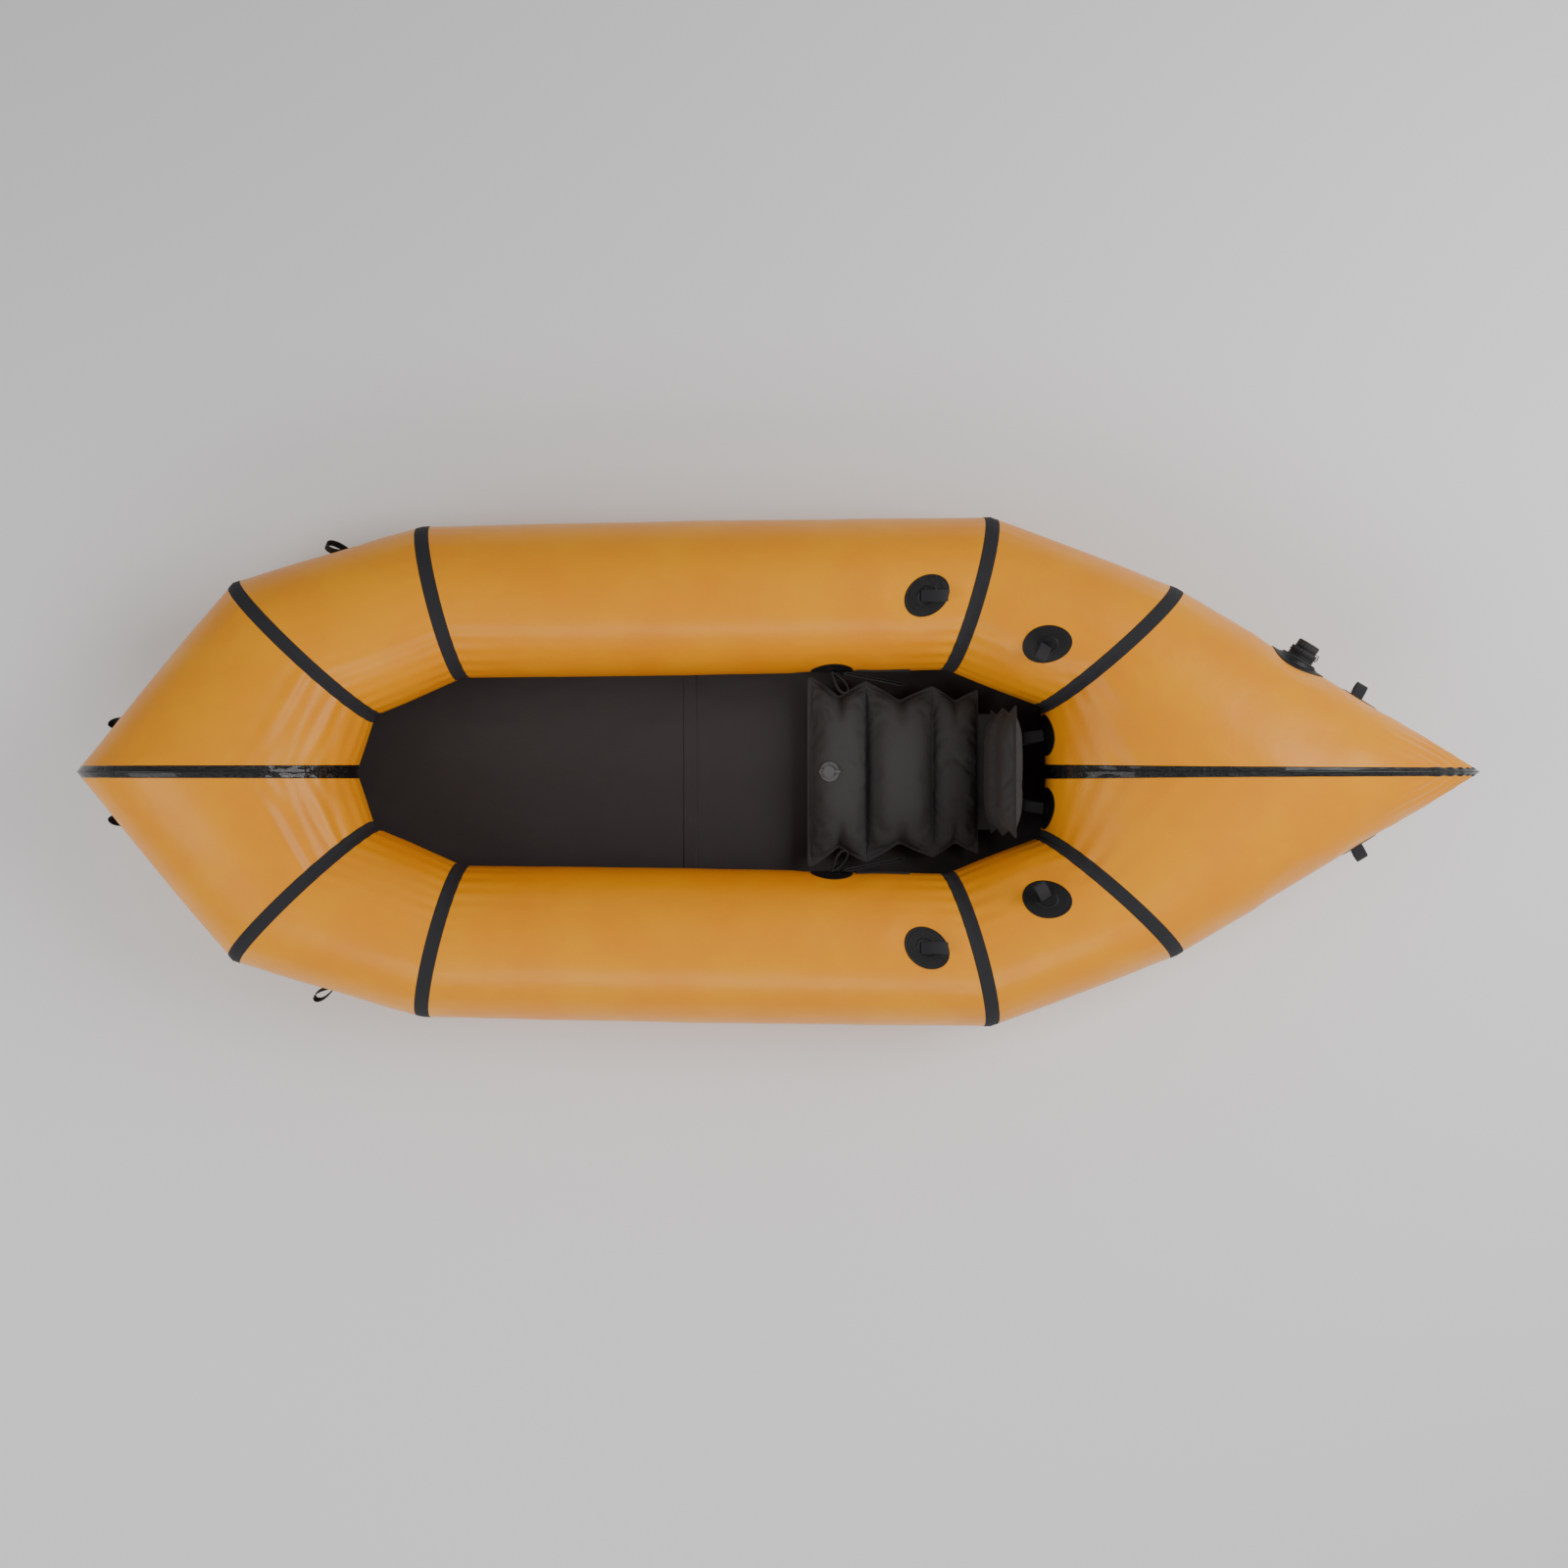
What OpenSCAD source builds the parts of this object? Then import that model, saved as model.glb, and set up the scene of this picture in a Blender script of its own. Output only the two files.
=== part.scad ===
// Inflatable packraft kayak: ten welded tube panels around an open cockpit, with taped seams,
// a fabric floor, an inflatable seat, webbing lashing loops and a screw-capped inflation valve.
// Millimetres. +X points to the bow, +Y to port, +Z up. The origin is on the ground under the middle.

/* [Hull] */
// Length over the bow and stern tips
hull_length = 2380; // [2200:10:2600]
// Beam over the aft knuckles
hull_beam = 904; // [850:1:990]
// Beam over the fore knuckles
fore_beam = 871; // [820:1:950]
// Diameter of the side tubes
tube_d = 268; // [230:1:300]
// Thickness of the coated fabric
fabric_t = 0.6; // [0.4:0.1:1.2]
// Height of the bow tip above the ground
bow_tip_z = 238; // [180:1:300]
// Height of the stern tip above the ground
stern_tip_z = 282; // [200:1:340]

/* [Seams in plan] */
// Length of the bow centre seam
bow_seam = 456; // [400:1:540]
// Distance of the bow knuckle behind the bow tip
bow_knuckle_back = 246; // [200:1:280]
// Beam over the bow knuckles
bow_knuckle_beam = 665; // [600:1:720]
// Length of the bow knuckle seam
bow_knuckle_seam = 334; // [300:1:360]
// Slant of the bow knuckle seam from the keel line, in degrees
bow_knuckle_slant = 44.2; // [36:0.1:50]
// Distance of the fore knuckle behind the bow tip
fore_knuckle_back = 574; // [540:1:640]
// Slant of the fore knuckle seam, in degrees
fore_slant = 76.1; // [70:0.1:84]
// Distance of the aft knuckle ahead of the stern tip
aft_knuckle_ahead = 801; // [740:1:860]
// Slant of the aft knuckle seam, in degrees
aft_slant = 105.2; // [98:0.1:114]
// Distance of the stern knuckle ahead of the stern tip
stern_knuckle_ahead = 482; // [430:1:520]
// Beam over the stern knuckles
stern_knuckle_beam = 646; // [600:1:720]
// Length of the stern knuckle seam
stern_knuckle_seam = 308; // [280:1:340]
// Slant of the stern knuckle seam, in degrees
stern_knuckle_slant = 137.6; // [130:0.1:146]
// Length of the stern centre seam
stern_seam = 705; // [640:1:780]

/* [Tape] */
// Width of the seam tape
tape_w = 25; // [18:1:32]
// Thickness of the seam tape
tape_t = 0.5; // [0.3:0.1:0.8]

/* [Floor] */
// Thickness of the floor sheet
floor_t = 1; // [0.8:0.1:1.6]
// Distance of the floor's lap seam ahead of midships
floor_lap_x = 144; // [60:1:220]

/* [Seat] */
// Distance of the seat's front weld behind midships
seat_front_back = 80; // [60:1:110]
// Length of the seat cushion between its front and rear welds
seat_l = 306; // [280:1:312]
// Width of the seat's chambers at the front
seat_w = 336; // [300:1:350]
// Width of the seat's chambers at the rear
seat_rear_w = 290; // [240:1:300]
// Thickness of the seat's front channels
seat_t = 80; // [60:1:90]
// Thickness of the seat's rear channel
seat_rear_t = 50; // [40:1:60]
// Width of the welded flange around the seat
weld_flange = 8; // [5:0.5:12]
// Height of the backrest
backrest_h = 180; // [150:1:190]
// Width of the backrest's chambers
backrest_w = 214; // [180:1:230]
// Thickness of the backrest
backrest_t = 36; // [30:1:40]
// Lean of the backrest aft of upright, in degrees
backrest_lean = 3; // [0:0.5:6]

/* [Lashing patches and loops] */
// Diameter of a patch
patch_d = 75; // [60:1:80]
// Diameter of the raised ring around the webbing slot
patch_ring_d = 35; // [30:1:40]
// Width of the webbing
webbing_w = 20; // [15:1:24]
// Thickness of one ply of webbing
webbing_t = 1.5; // [1:0.1:2]
// Length of a webbing loop
loop_l = 45; // [38:1:50]
// Opening of a webbing loop
loop_eye = 12; // [10:0.5:14]

/* [Inflation valve] */
// Diameter of the fabric patch under the valve
valve_patch_d = 100; // [90:1:110]
// Diameter of the moulded valve flange
valve_flange_d = 62; // [58:1:72]
// Outer diameter of the valve base's neck
valve_neck_d = 44; // [40:1:48]
// Outer diameter of the valve body's neck
valve_body_d = 33; // [30:1:35]
// Outer diameter of the cap
valve_cap_d = 38; // [36:0.5:40]
// Pitch of the cap's thread
cap_pitch = 3; // [2:0.5:3]

/* [Seat valve] */
// Diameter of the seat valve's flange
stem_flange_d = 36; // [30:1:42]
// Outer diameter of the seat valve's stem
stem_d = 19; // [16:0.5:22]
// Bore of the seat valve's stem
stem_bore_d = 8; // [6:0.5:10]
// Height of the seat valve's stem
stem_h = 4; // [3:0.5:6]

/* [Hidden] */

hull_colour = [0.95, 0.55, 0.02];
tape_colour = [0.06, 0.06, 0.07];
floor_colour = [0.10, 0.09, 0.09];
seat_colour = [0.14, 0.13, 0.13];
webbing_colour = [0.05, 0.05, 0.05];
valve_colour = [0.08, 0.08, 0.09];

port = 1;
starboard = -1;
skin_gap = 0.15;                                 // air between two welded layers
run_gap = 0.4;                                   // air between pieces that move past each other
ring_step = 9;                                   // degrees between the points around a tube
round_fn = 48;

// ---------- hull surface ----------
// A station is a seam's vertical plane: inner corner x, y, outer corner x, y, height of the inner
// and outer ends, half height, how late the lift comes, and how much the outer end thins.
floor_off = tape_t + 3 * skin_gap;               // the floor lies over the seam tapes
base_z = floor_off + floor_t;                    // lowest line of the side tubes
bow_x = hull_length / 2;
stern_x = -hull_length / 2;
fore_outer = [bow_x - fore_knuckle_back, fore_beam / 2];
aft_outer = [stern_x + aft_knuckle_ahead, hull_beam / 2];
side_angle = atan2(fore_outer.y - aft_outer.y, fore_outer.x - aft_outer.x);
bow_height = 338;
bow_knuckle_height = 286;
stern_knuckle_height = 290;
stern_height = 348;
knuckle_rise = 10;                               // lift of the knuckles' lowest line off the base
bow_tip_thinning = 0.12;
stern_tip_thinning = 0.42;

function mitre_length(slant) = tube_d / sin(slant - side_angle);
function inner_of(outer, length, slant) = [outer.x - length * cos(slant), outer.y - length * sin(slant)];
function station(outer, length, slant, z_inner, z_outer, half) =
    let (inner = inner_of(outer, length, slant))
    [inner.x, inner.y, outer.x, outer.y, z_inner, z_outer, half, 1, 0];

tube_z = base_z + tube_d / 2;
bow_knuckle_z = base_z + knuckle_rise + bow_knuckle_height / 2;
stern_knuckle_z = base_z + knuckle_rise + stern_knuckle_height / 2;
STATIONS = [
    [bow_x - bow_seam, 0, bow_x, 0, base_z + bow_height / 2, bow_tip_z, bow_height / 2, 1.6, bow_tip_thinning],
    station([bow_x - bow_knuckle_back, bow_knuckle_beam / 2], bow_knuckle_seam, bow_knuckle_slant,
        bow_knuckle_z, bow_knuckle_z + knuckle_rise, bow_knuckle_height / 2),
    station(fore_outer, mitre_length(fore_slant), fore_slant, tube_z, tube_z, tube_d / 2),
    station(aft_outer, mitre_length(aft_slant), aft_slant, tube_z, tube_z, tube_d / 2),
    station([stern_x + stern_knuckle_ahead, stern_knuckle_beam / 2], stern_knuckle_seam, stern_knuckle_slant,
        stern_knuckle_z, stern_knuckle_z + knuckle_rise, stern_knuckle_height / 2),
    [stern_x + stern_seam, 0, stern_x, 0, base_z + stern_height / 2, stern_tip_z, stern_height / 2, 1.4,
        stern_tip_thinning]
];
BOW = 0;
FORE_SHOULDER = 1;
SIDE = 2;
AFT_SHOULDER = 3;
STERN = 4;

function mirrored(p, side) = [p.x, side * p.y, p.z];
function unit(v) = v / norm(v);

// A point of a seam's closed curve: f is 0 at the outer end, 90 at the top and 180 at the inner end.
function seam_point(st, f) =
    let (u = (1 + cos(f)) / 2)
    [st[0] + (st[2] - st[0]) * u, st[1] + (st[3] - st[1]) * u,
        st[4] + (st[5] - st[4]) * pow(u, st[7]) + st[6] * sin(f) * (1 - st[8] * u * u)];
// A point of the port hull: s runs from 0 at a panel's forward seam to 1 at its after seam.
function hull_point(panel, s, f) =
    (1 - s) * seam_point(STATIONS[panel], f) + s * seam_point(STATIONS[panel + 1], f);
function hull_along(panel, f) = seam_point(STATIONS[panel + 1], f) - seam_point(STATIONS[panel], f);
function hull_around(panel, s, f) = hull_point(panel, s, f + 0.5) - hull_point(panel, s, f - 0.5);
function hull_normal(panel, s, f) = unit(cross(hull_along(panel, f), hull_around(panel, s, f)));
function off_hull(panel, s, f, height) = hull_point(panel, s, f) + height * hull_normal(panel, s, f);

// The shared normal at a seam, between the panel ahead of it and the one behind.
function ahead_normal(seam, f) =
    seam == 0 ? mirrored(hull_normal(BOW, 0, f), starboard) : hull_normal(seam - 1, 1, f);
function behind_normal(seam, f) =
    seam == 5 ? mirrored(hull_normal(STERN, 1, f), starboard) : hull_normal(seam, 0, f);
function crease_normal(seam, f) = unit(ahead_normal(seam, f) + behind_normal(seam, f));
function off_seam(seam, f, height) =
    let (n = crease_normal(seam, f))
    seam_point(STATIONS[seam], f) + n * height / max(0.4, n * ahead_normal(seam, f));

// A station drawn in by the fabric's thickness, for the inside of a panel.
function drawn_in(st, t) =
    let (span = [st[2] - st[0], st[3] - st[1]], e = span / norm(span) * t)
    [st[0] + e.x, st[1] + e.y, st[2] - e.x, st[3] - e.y, st[4], st[5], st[6] - t, st[7], st[8]];

// ---------- meshing ----------
// A square is split so that its two triangles lie inside the smooth solid, never outside it. The
// second wall of a swollen sheet is split like its first one, so that the two never cross.
function quad(p, a, b, c, d, flip) =
    (p[a] + p[c] - p[b] - p[d]) * cross(p[c] - p[a], p[d] - p[b]) * (flip ? 1 : -1) > 0
        ? [[a, b, d], [b, c, d]] : [[a, b, c], [a, c, d]];
// Rows of closed rings, joined row to row; the last row joins the first when wrap is true.
module ring_mesh(rows, wrap, flip = false, twin = false) {
    n = len(rows[0]);
    m = len(rows);
    strips = wrap ? m : m - 1;
    centre = function (row) [for (k = [0:2]) [for (p = row) p[k]] * [for (p = row) 1 / n]];
    points = concat([for (row = rows) each row], [centre(rows[0]), centre(rows[m - 1])]);
    sides = [for (r = [0:strips - 1], c = [0:n - 1]) let (d = (c + 1) % n, next = ((r + 1) % m) * n)
        each quad(points, r * n + c, r * n + d, next + d, next + c, twin && r >= m / 2 ? !flip : flip)];
    caps = wrap ? [] : concat([for (c = [0:n - 1]) [m * n, (c + 1) % n, c]],
        [for (c = [0:n - 1]) [m * n + 1, (m - 1) * n + c, (m - 1) * n + (c + 1) % n]]);
    faces = concat(sides, caps);
    used = wrap ? [for (k = [0:m * n - 1]) points[k]] : points;
    polyhedron(points = used, faces = flip ? [for (f = faces) [f[2], f[1], f[0]]] : faces);
}

// A thin sheet between two grids of points with the same rows and columns.
module sheet_mesh(upper, lower, flip = false, twin = false) {
    m = len(upper);
    n = len(upper[0]);
    lo = m * n;
    p = concat([for (row = upper) each row], [for (row = lower) each row]);
    rows = [0:m - 2];
    columns = [0:n - 2];
    last = (m - 1) * n;
    far = n - 1;
    faces = concat(
        [for (r = rows, c = columns) let (a = r * n + c) each quad(p, a, a + 1, a + n + 1, a + n, flip)],
        [for (r = rows, c = columns) let (a = lo + r * n + c)
            each quad(p, a + n, a + n + 1, a + 1, a, twin ? !flip : flip)],
        [for (c = columns) each quad(p, lo + c, lo + c + 1, c + 1, c, flip)],
        [for (c = columns) let (a = last + c) each quad(p, a, a + 1, lo + a + 1, lo + a, flip)],
        [for (r = rows) let (a = r * n) each quad(p, a, a + n, lo + a + n, lo + a, flip)],
        [for (r = rows) let (a = r * n + far) each quad(p, lo + a, lo + a + n, a + n, a, flip)]
    );
    polyhedron(points = p, faces = flip ? [for (f = faces) [f[2], f[1], f[0]]] : faces);
}

module on_side(side) {
    if (side == port) children();
    else mirror([0, 1, 0]) children();
}

// ---------- hull ----------
ring_angles = [0:ring_step:359];
// How many lengths each panel is divided into: the tapered ends are curved, the others nearly straight.
panel_steps = [5, 1, 1, 1, 6];

module hull_panel(panel, side) {
    steps = panel_steps[panel];
    inner_a = drawn_in(STATIONS[panel], fabric_t);
    inner_b = drawn_in(STATIONS[panel + 1], fabric_t);
    outside = [for (k = [0:steps]) [for (f = ring_angles) hull_point(panel, k / steps, f)]];
    inside = [for (k = [steps:-1:0]) [for (f = ring_angles)
        (1 - k / steps) * seam_point(inner_a, f) + k / steps * seam_point(inner_b, f)]];
    color(hull_colour) on_side(side) ring_mesh(concat(outside, inside), true, twin = true);
}

module seam_tape(seam, side) {
    half = tape_w / 2;
    low = skin_gap;
    high = skin_gap + tape_t;
    ahead = function (f, h) seam == 0
        ? mirrored(off_hull(BOW, half / norm(hull_along(BOW, f)), f, h), starboard)
        : off_hull(seam - 1, 1 - half / norm(hull_along(seam - 1, f)), f, h);
    behind = function (f, h) seam == 5
        ? mirrored(off_hull(STERN, 1 - half / norm(hull_along(STERN, f)), f, h), starboard)
        : off_hull(seam, half / norm(hull_along(seam, f)), f, h);
    color(tape_colour) on_side(side) ring_mesh([
        [for (f = ring_angles) ahead(f, high)],
        [for (f = ring_angles) off_seam(seam, f, high)],
        [for (f = ring_angles) behind(f, high)],
        [for (f = ring_angles) behind(f, low)],
        [for (f = ring_angles) off_seam(seam, f, low)],
        [for (f = ring_angles) ahead(f, low)]
    ], true);
}

// ---------- floor ----------
floor_edge_angle = 297;                          // where the floor ends, up the tube's outer quarter
keel_start = 0.06;                               // share of the end panels left bare at the keel seam
lap_s = (seam_point(STATIONS[SIDE], 270).x - floor_lap_x) / -hull_along(SIDE, 270).x;
FORE_ROWS = concat([[BOW, keel_start]], [for (k = [1:panel_steps[BOW] - 1]) [BOW, k / panel_steps[BOW]]],
    [[FORE_SHOULDER, 0], [SIDE, 0], [SIDE, lap_s]]);
AFT_ROWS = concat([[SIDE, lap_s], [AFT_SHOULDER, 0]],
    [for (k = [0:panel_steps[STERN] - 1]) [STERN, k / panel_steps[STERN]]], [[STERN, 1 - keel_start]]);

function off_hull_or_seam(row, f, h) = row[1] == 0 ? off_seam(row[0], f, h) : off_hull(row[0], row[1], f, h);
// The floor meets the tubes along their lowest line, which moves inboard towards both tips.
bow_low_shift = 14;
stern_low_shift = 24;
function low_angle(row) = 270 - (row[0] == BOW ? bow_low_shift * (1 - row[1]) : 0)
    - (row[0] == STERN ? stern_low_shift * row[1] : 0);
floor_columns = 9;
function floor_angle(row, k) = floor_edge_angle + (low_angle(row) - floor_edge_angle) * k / (floor_columns - 1);
function floor_row(row, h) =
    let (wing = [for (k = [0:floor_columns - 1]) off_hull_or_seam(row, floor_angle(row, k), h)])
    concat(wing, [for (k = [floor_columns - 1:-1:0]) mirrored(wing[k], starboard)]);

module floor_sheet(rows) {
    color(floor_colour) sheet_mesh([for (r = rows) floor_row(r, floor_off)],
        [for (r = rows) floor_row(r, floor_off + floor_t)], true);
}

lap_band_inset = 25;                             // how far the lap band stops short of the tubes' lowest line
lap_band_half = seam_point(STATIONS[SIDE], 270).y - lap_band_inset;
module floor_lap_band() {
    color(floor_colour) translate([floor_lap_x - tape_w / 2, -lap_band_half, floor_t + skin_gap])
        cube([tape_w, 2 * lap_band_half, tape_t]);
}

module floor_rim_bands() {
    rows = concat(FORE_ROWS, [for (k = [1:len(AFT_ROWS) - 1]) AFT_ROWS[k]]);
    over = floor_off + floor_t + skin_gap;
    beyond = ring_step / 2;
    band = function (row, t) concat(
        [for (k = [2:-1:0]) off_hull_or_seam(row, floor_angle(row, k), over + t)],
        [for (k = [1:2]) off_hull_or_seam(row, floor_edge_angle + k * beyond, floor_off + t)]);
    color(tape_colour) for (side = [port, starboard]) on_side(side)
        sheet_mesh([for (r = rows) band(r, tape_t)], [for (r = rows) band(r, 0)], true);
}

// ---------- patches ----------
patch_t = 1;
patch_edge = 1.5;
patch_ring_t = 0.8;
patch_fn = 16;
// Where each fitting sits: panel, share of its length, angle around the tube, turn of the slot from
// the tube's length, then the loop's angle above the surface at rest, at its lowest and at its highest,
// and how far the slot is set back from the patch's centre.
DECK = [SIDE, 0.905, 97, 90, 20, 19, 160, -9];
SHOULDER = [AFT_SHOULDER, 0.58, 113, 11, 112, 18, 160, 0];
BOW_LOOP = [BOW, 0.27, 345, 90, 138, 25, 160, 0];
FORE_LOOP_PORT = [FORE_SHOULDER, 0.5, 348, 90, 131, 25, 160, 0];
FORE_LOOP_STARBOARD = [FORE_SHOULDER, 0.58, 348, 66, 152, 25, 160, 0];
STERN_LOOP = [STERN, 0.615, 356, 0, 50, 30, 150, 0];
SEAT_LOOP = [SIDE, 0.76, 174, 90, 56, 56, 150, 0];
BACKREST_LOOP = [STERN, 0.44, 178, 0, 140, 128, 150, 0];
VALVE_SPOT = [STERN, 0.41, 10];

// A point of the hull's surface near a spot, x along the tube and y around it, raised by h.
function local_point(spot, x, y, h) =
    let (panel = spot[0], along = hull_along(panel, spot[2]),
        around = norm(hull_around(panel, spot[1], spot[2])))
    off_hull(panel, spot[1] + x / norm(along), spot[2] + y / around, h);

patch_gap = 0.35;                                // air under a patch, which bends over the tube in facets
module patch(spot, d, ring_d, ring_t, side) {
    ring = function (r, h) [for (k = [0:patch_fn - 1])
        local_point(spot, r * cos(k * 360 / patch_fn), r * sin(k * 360 / patch_fn), h)];
    low = patch_gap;
    top = low + patch_t;
    rim = d / 2 - patch_edge;
    raised = ring_d / 2;
    middle = (rim + raised) / 2;
    color(webbing_colour) on_side(side) ring_mesh([
        ring(1, low), ring(raised / 2, low), ring(raised, low), ring(middle, low), ring(d / 2, low),
        ring(rim, top), ring(middle, top), ring(raised, top), ring(raised - 1, top + ring_t),
        ring(raised / 2, top + ring_t), ring(1, top + ring_t)
    ], false, true);
}

// The valve's patch has a flat bed in the middle, built up from the round tube to carry the flange.
valve_bed_t = 1.5;
module valve_patch() {
    f = valve_frame();
    bed_r = valve_flange_d / 2 + 2;
    around = function (r, h) [for (k = [0:2 * patch_fn - 1])
        local_point(VALVE_SPOT, r * cos(k * 180 / patch_fn), r * sin(k * 180 / patch_fn), h)];
    bed = function (r) [for (k = [0:2 * patch_fn - 1])
        f[0] + f[2] * r * cos(k * 180 / patch_fn) + f[3] * r * sin(k * 180 / patch_fn)];
    edge_r = valve_patch_d / 2;
    color(webbing_colour) on_side(starboard) ring_mesh([
        around(1, patch_gap), around(bed_r / 3, patch_gap), around(bed_r * 2 / 3, patch_gap),
        around(bed_r, patch_gap), around((bed_r + edge_r) / 2, patch_gap), around(edge_r, patch_gap),
        around(edge_r - patch_edge, patch_gap + patch_t), around(bed_r + 4, patch_gap + patch_t),
        bed(bed_r), bed(1)
    ], false, true);
}

// ---------- webbing loops ----------
bead_d = 2 * webbing_t;
hinge_h = patch_gap + patch_t + patch_ring_t + run_gap + bead_d / 2;
// The loop's hinge: its place, the surface's normal, the hinge axis and the way the loop leans at 0.
function spot_frame(spot) =
    let (p = local_point(spot, spot[7], 0, hinge_h), n = hull_normal(spot[0], spot[1], spot[2]),
        t0 = unit(hull_along(spot[0], spot[2])), b0 = cross(n, t0),
        axis = t0 * cos(spot[3]) + b0 * sin(spot[3]), lean = cross(axis, n))
    [p, n, axis, lean];

// A teardrop outline: pinched at its foot at x = 0, widest towards the far end.
function teardrop(length, width, count) =
    [for (k = [0:count - 1]) let (t = 360 * (k + 0.5) / count)
        [length * (1 - cos(t)) / 2, width * 0.77 * sin(t) * pow(sin(t / 2), 1.2)]];

module webbing_loop(spot, side) {
    f = spot_frame(spot);
    p = f[0];
    n = f[1];
    axis = f[2];
    run = f[3] * cos(spot[4]) + n * sin(spot[4]);
    rise = cross(axis, run);
    length = loop_l - webbing_t / 2;
    color(webbing_colour) on_side(side)
        multmatrix([[run.x, rise.x, axis.x, p.x], [run.y, rise.y, axis.y, p.y], [run.z, rise.z, axis.z, p.z],
            [0, 0, 0, 1]])
        linear_extrude(webbing_w, center = true) {
            difference() {
                offset(delta = webbing_t / 2) polygon(teardrop(length, loop_eye + webbing_t, 20));
                offset(delta = -webbing_t / 2) polygon(teardrop(length, loop_eye + webbing_t, 20));
            }
            circle(d = bead_d, $fn = 12);
        }
}

// ---------- seat ----------
hinge_web_l = 24;                                // flat fabric from the cushion back to the fold
fold_gap = 1.2;                                  // the backrest's lower edge above the fold line
channel_shares = [0, 0.33, 0.73, 1];
back_welds = [0, 0.5, 1];
seat_mid_z = floor_t + run_gap + fabric_t + skin_gap + seat_t / 2;
seat_front_x = -seat_front_back;
seat_rear_x = seat_front_x - seat_l;
hinge_x = seat_rear_x - hinge_web_l;

// Swelling of a row of welded channels: zero at every weld and one at a channel's middle.
function swell(u, welds, k = 0) =
    u >= welds[k + 1] && k < len(welds) - 2 ? swell(u, welds, k + 1)
    : let (f = (u - welds[k]) / (welds[k + 1] - welds[k])) sqrt(max(0, 4 * f * (1 - f)));
function end_swell(v) = sqrt(max(0, 1 - pow(abs(v), 5)));
function samples(welds, count) =
    [for (k = [0:len(welds) - 2], j = [0:count - 1])
        welds[k] + (welds[k + 1] - welds[k]) * (1 - cos(180 * j / count)) / 2];

across_v = [-1, -0.93, -0.78, -0.4, 0, 0.4, 0.78, 0.93, 1];
seat_u = concat(samples(channel_shares, 6), [1]);
back_u = concat(samples(back_welds, 6), [1]);
function seat_half(u) = (seat_w + (seat_rear_w - seat_w) * u) / 2;
function seat_thickness(u) = u < channel_shares[2] ? seat_t : seat_rear_t;
function seat_row(x, u, lift, sign) = concat(
    [[x, -seat_half(u) - weld_flange, seat_mid_z + sign * lift]],
    [for (v = across_v) [x, seat_half(u) * v,
        seat_mid_z + sign * (lift + seat_thickness(u) / 2 * swell(u, channel_shares) * end_swell(v))]],
    [[x, seat_half(u) + weld_flange, seat_mid_z + sign * lift]]);
function seat_grid(sign, lift) = concat(
    [seat_row(seat_front_x + weld_flange, 0, lift, sign)],
    [for (u = seat_u) seat_row(seat_front_x - seat_l * u, u, lift, sign)]);

module seat_top_sheet() {
    color(seat_colour)
        sheet_mesh(seat_grid(1, skin_gap / 2 + fabric_t), seat_grid(1, skin_gap / 2), twin = true);
}

module seat_bottom_sheet() {
    color(seat_colour)
        sheet_mesh(seat_grid(-1, skin_gap / 2 + fabric_t), seat_grid(-1, skin_gap / 2), true, true);
}

function back_row(z, u, lift, sign) = concat(
    [[sign * lift, -backrest_w / 2 - weld_flange, z]],
    [for (v = across_v)
        [sign * (lift + backrest_t / 2 * swell(u, back_welds) * end_swell(v)), backrest_w / 2 * v, z]],
    [[sign * lift, backrest_w / 2 + weld_flange, z]]);
function back_grid(sign, lift) = concat(
    [for (u = back_u) back_row(fold_gap + backrest_h * u, u, lift, sign)],
    [back_row(fold_gap + backrest_h + weld_flange, 1, lift, sign)]);

module on_backrest() {
    translate([hinge_x, 0, seat_mid_z]) rotate([0, -backrest_lean, 0]) children();
}

module backrest_front_sheet() {
    color(seat_colour) on_backrest()
        sheet_mesh(back_grid(1, skin_gap / 2 + fabric_t), back_grid(1, skin_gap / 2), true, true);
}

module backrest_rear_sheet() {
    color(seat_colour) on_backrest()
        sheet_mesh(back_grid(-1, skin_gap / 2 + fabric_t), back_grid(-1, skin_gap / 2), twin = true);
}

// The flat web that lets the backrest fold; the backrest stands just above its rear edge.
module backrest_hinge_web() {
    color(seat_colour) translate([hinge_x - 1, -backrest_w / 2, seat_mid_z - fabric_t / 2])
        cube([hinge_web_l + 1 - skin_gap, backrest_w, fabric_t]);
}

// ---------- seat valve ----------
seat_valve_share = 0.30;                         // place along the front channel
seat_valve_u = channel_shares[1] * seat_valve_share;
plug_t = 2;
plug_strap_w = 5;
bead_r = 1.2;
plug_reach = stem_flange_d / 2 + run_gap + 2 * bead_r;   // the hinge bead lies just behind the flange
lid_z = stem_h + run_gap;
bead_z = bead_r + run_gap;

// The valve stands square to the swollen channel under it.
module on_seat_valve() {
    height = function (u) seat_t / 2 * swell(u, channel_shares);
    rise = height(seat_valve_u + 0.01) - height(seat_valve_u - 0.01);
    translate([seat_front_x - seat_valve_u * seat_l, 0,
        seat_mid_z + skin_gap / 2 + fabric_t + height(seat_valve_u) + skin_gap])
        rotate([0, atan2(rise, 0.02 * seat_l), 0]) children();
}

module seat_valve_stem() {
    color(valve_colour) on_seat_valve() difference() {
        union() {
            cylinder(d = stem_flange_d, h = 1, $fn = round_fn);
            cylinder(d = stem_d, h = stem_h, $fn = round_fn);
        }
        translate([0, 0, -1]) cylinder(d = stem_bore_d, h = stem_h + 2, $fn = round_fn);
    }
}

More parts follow.
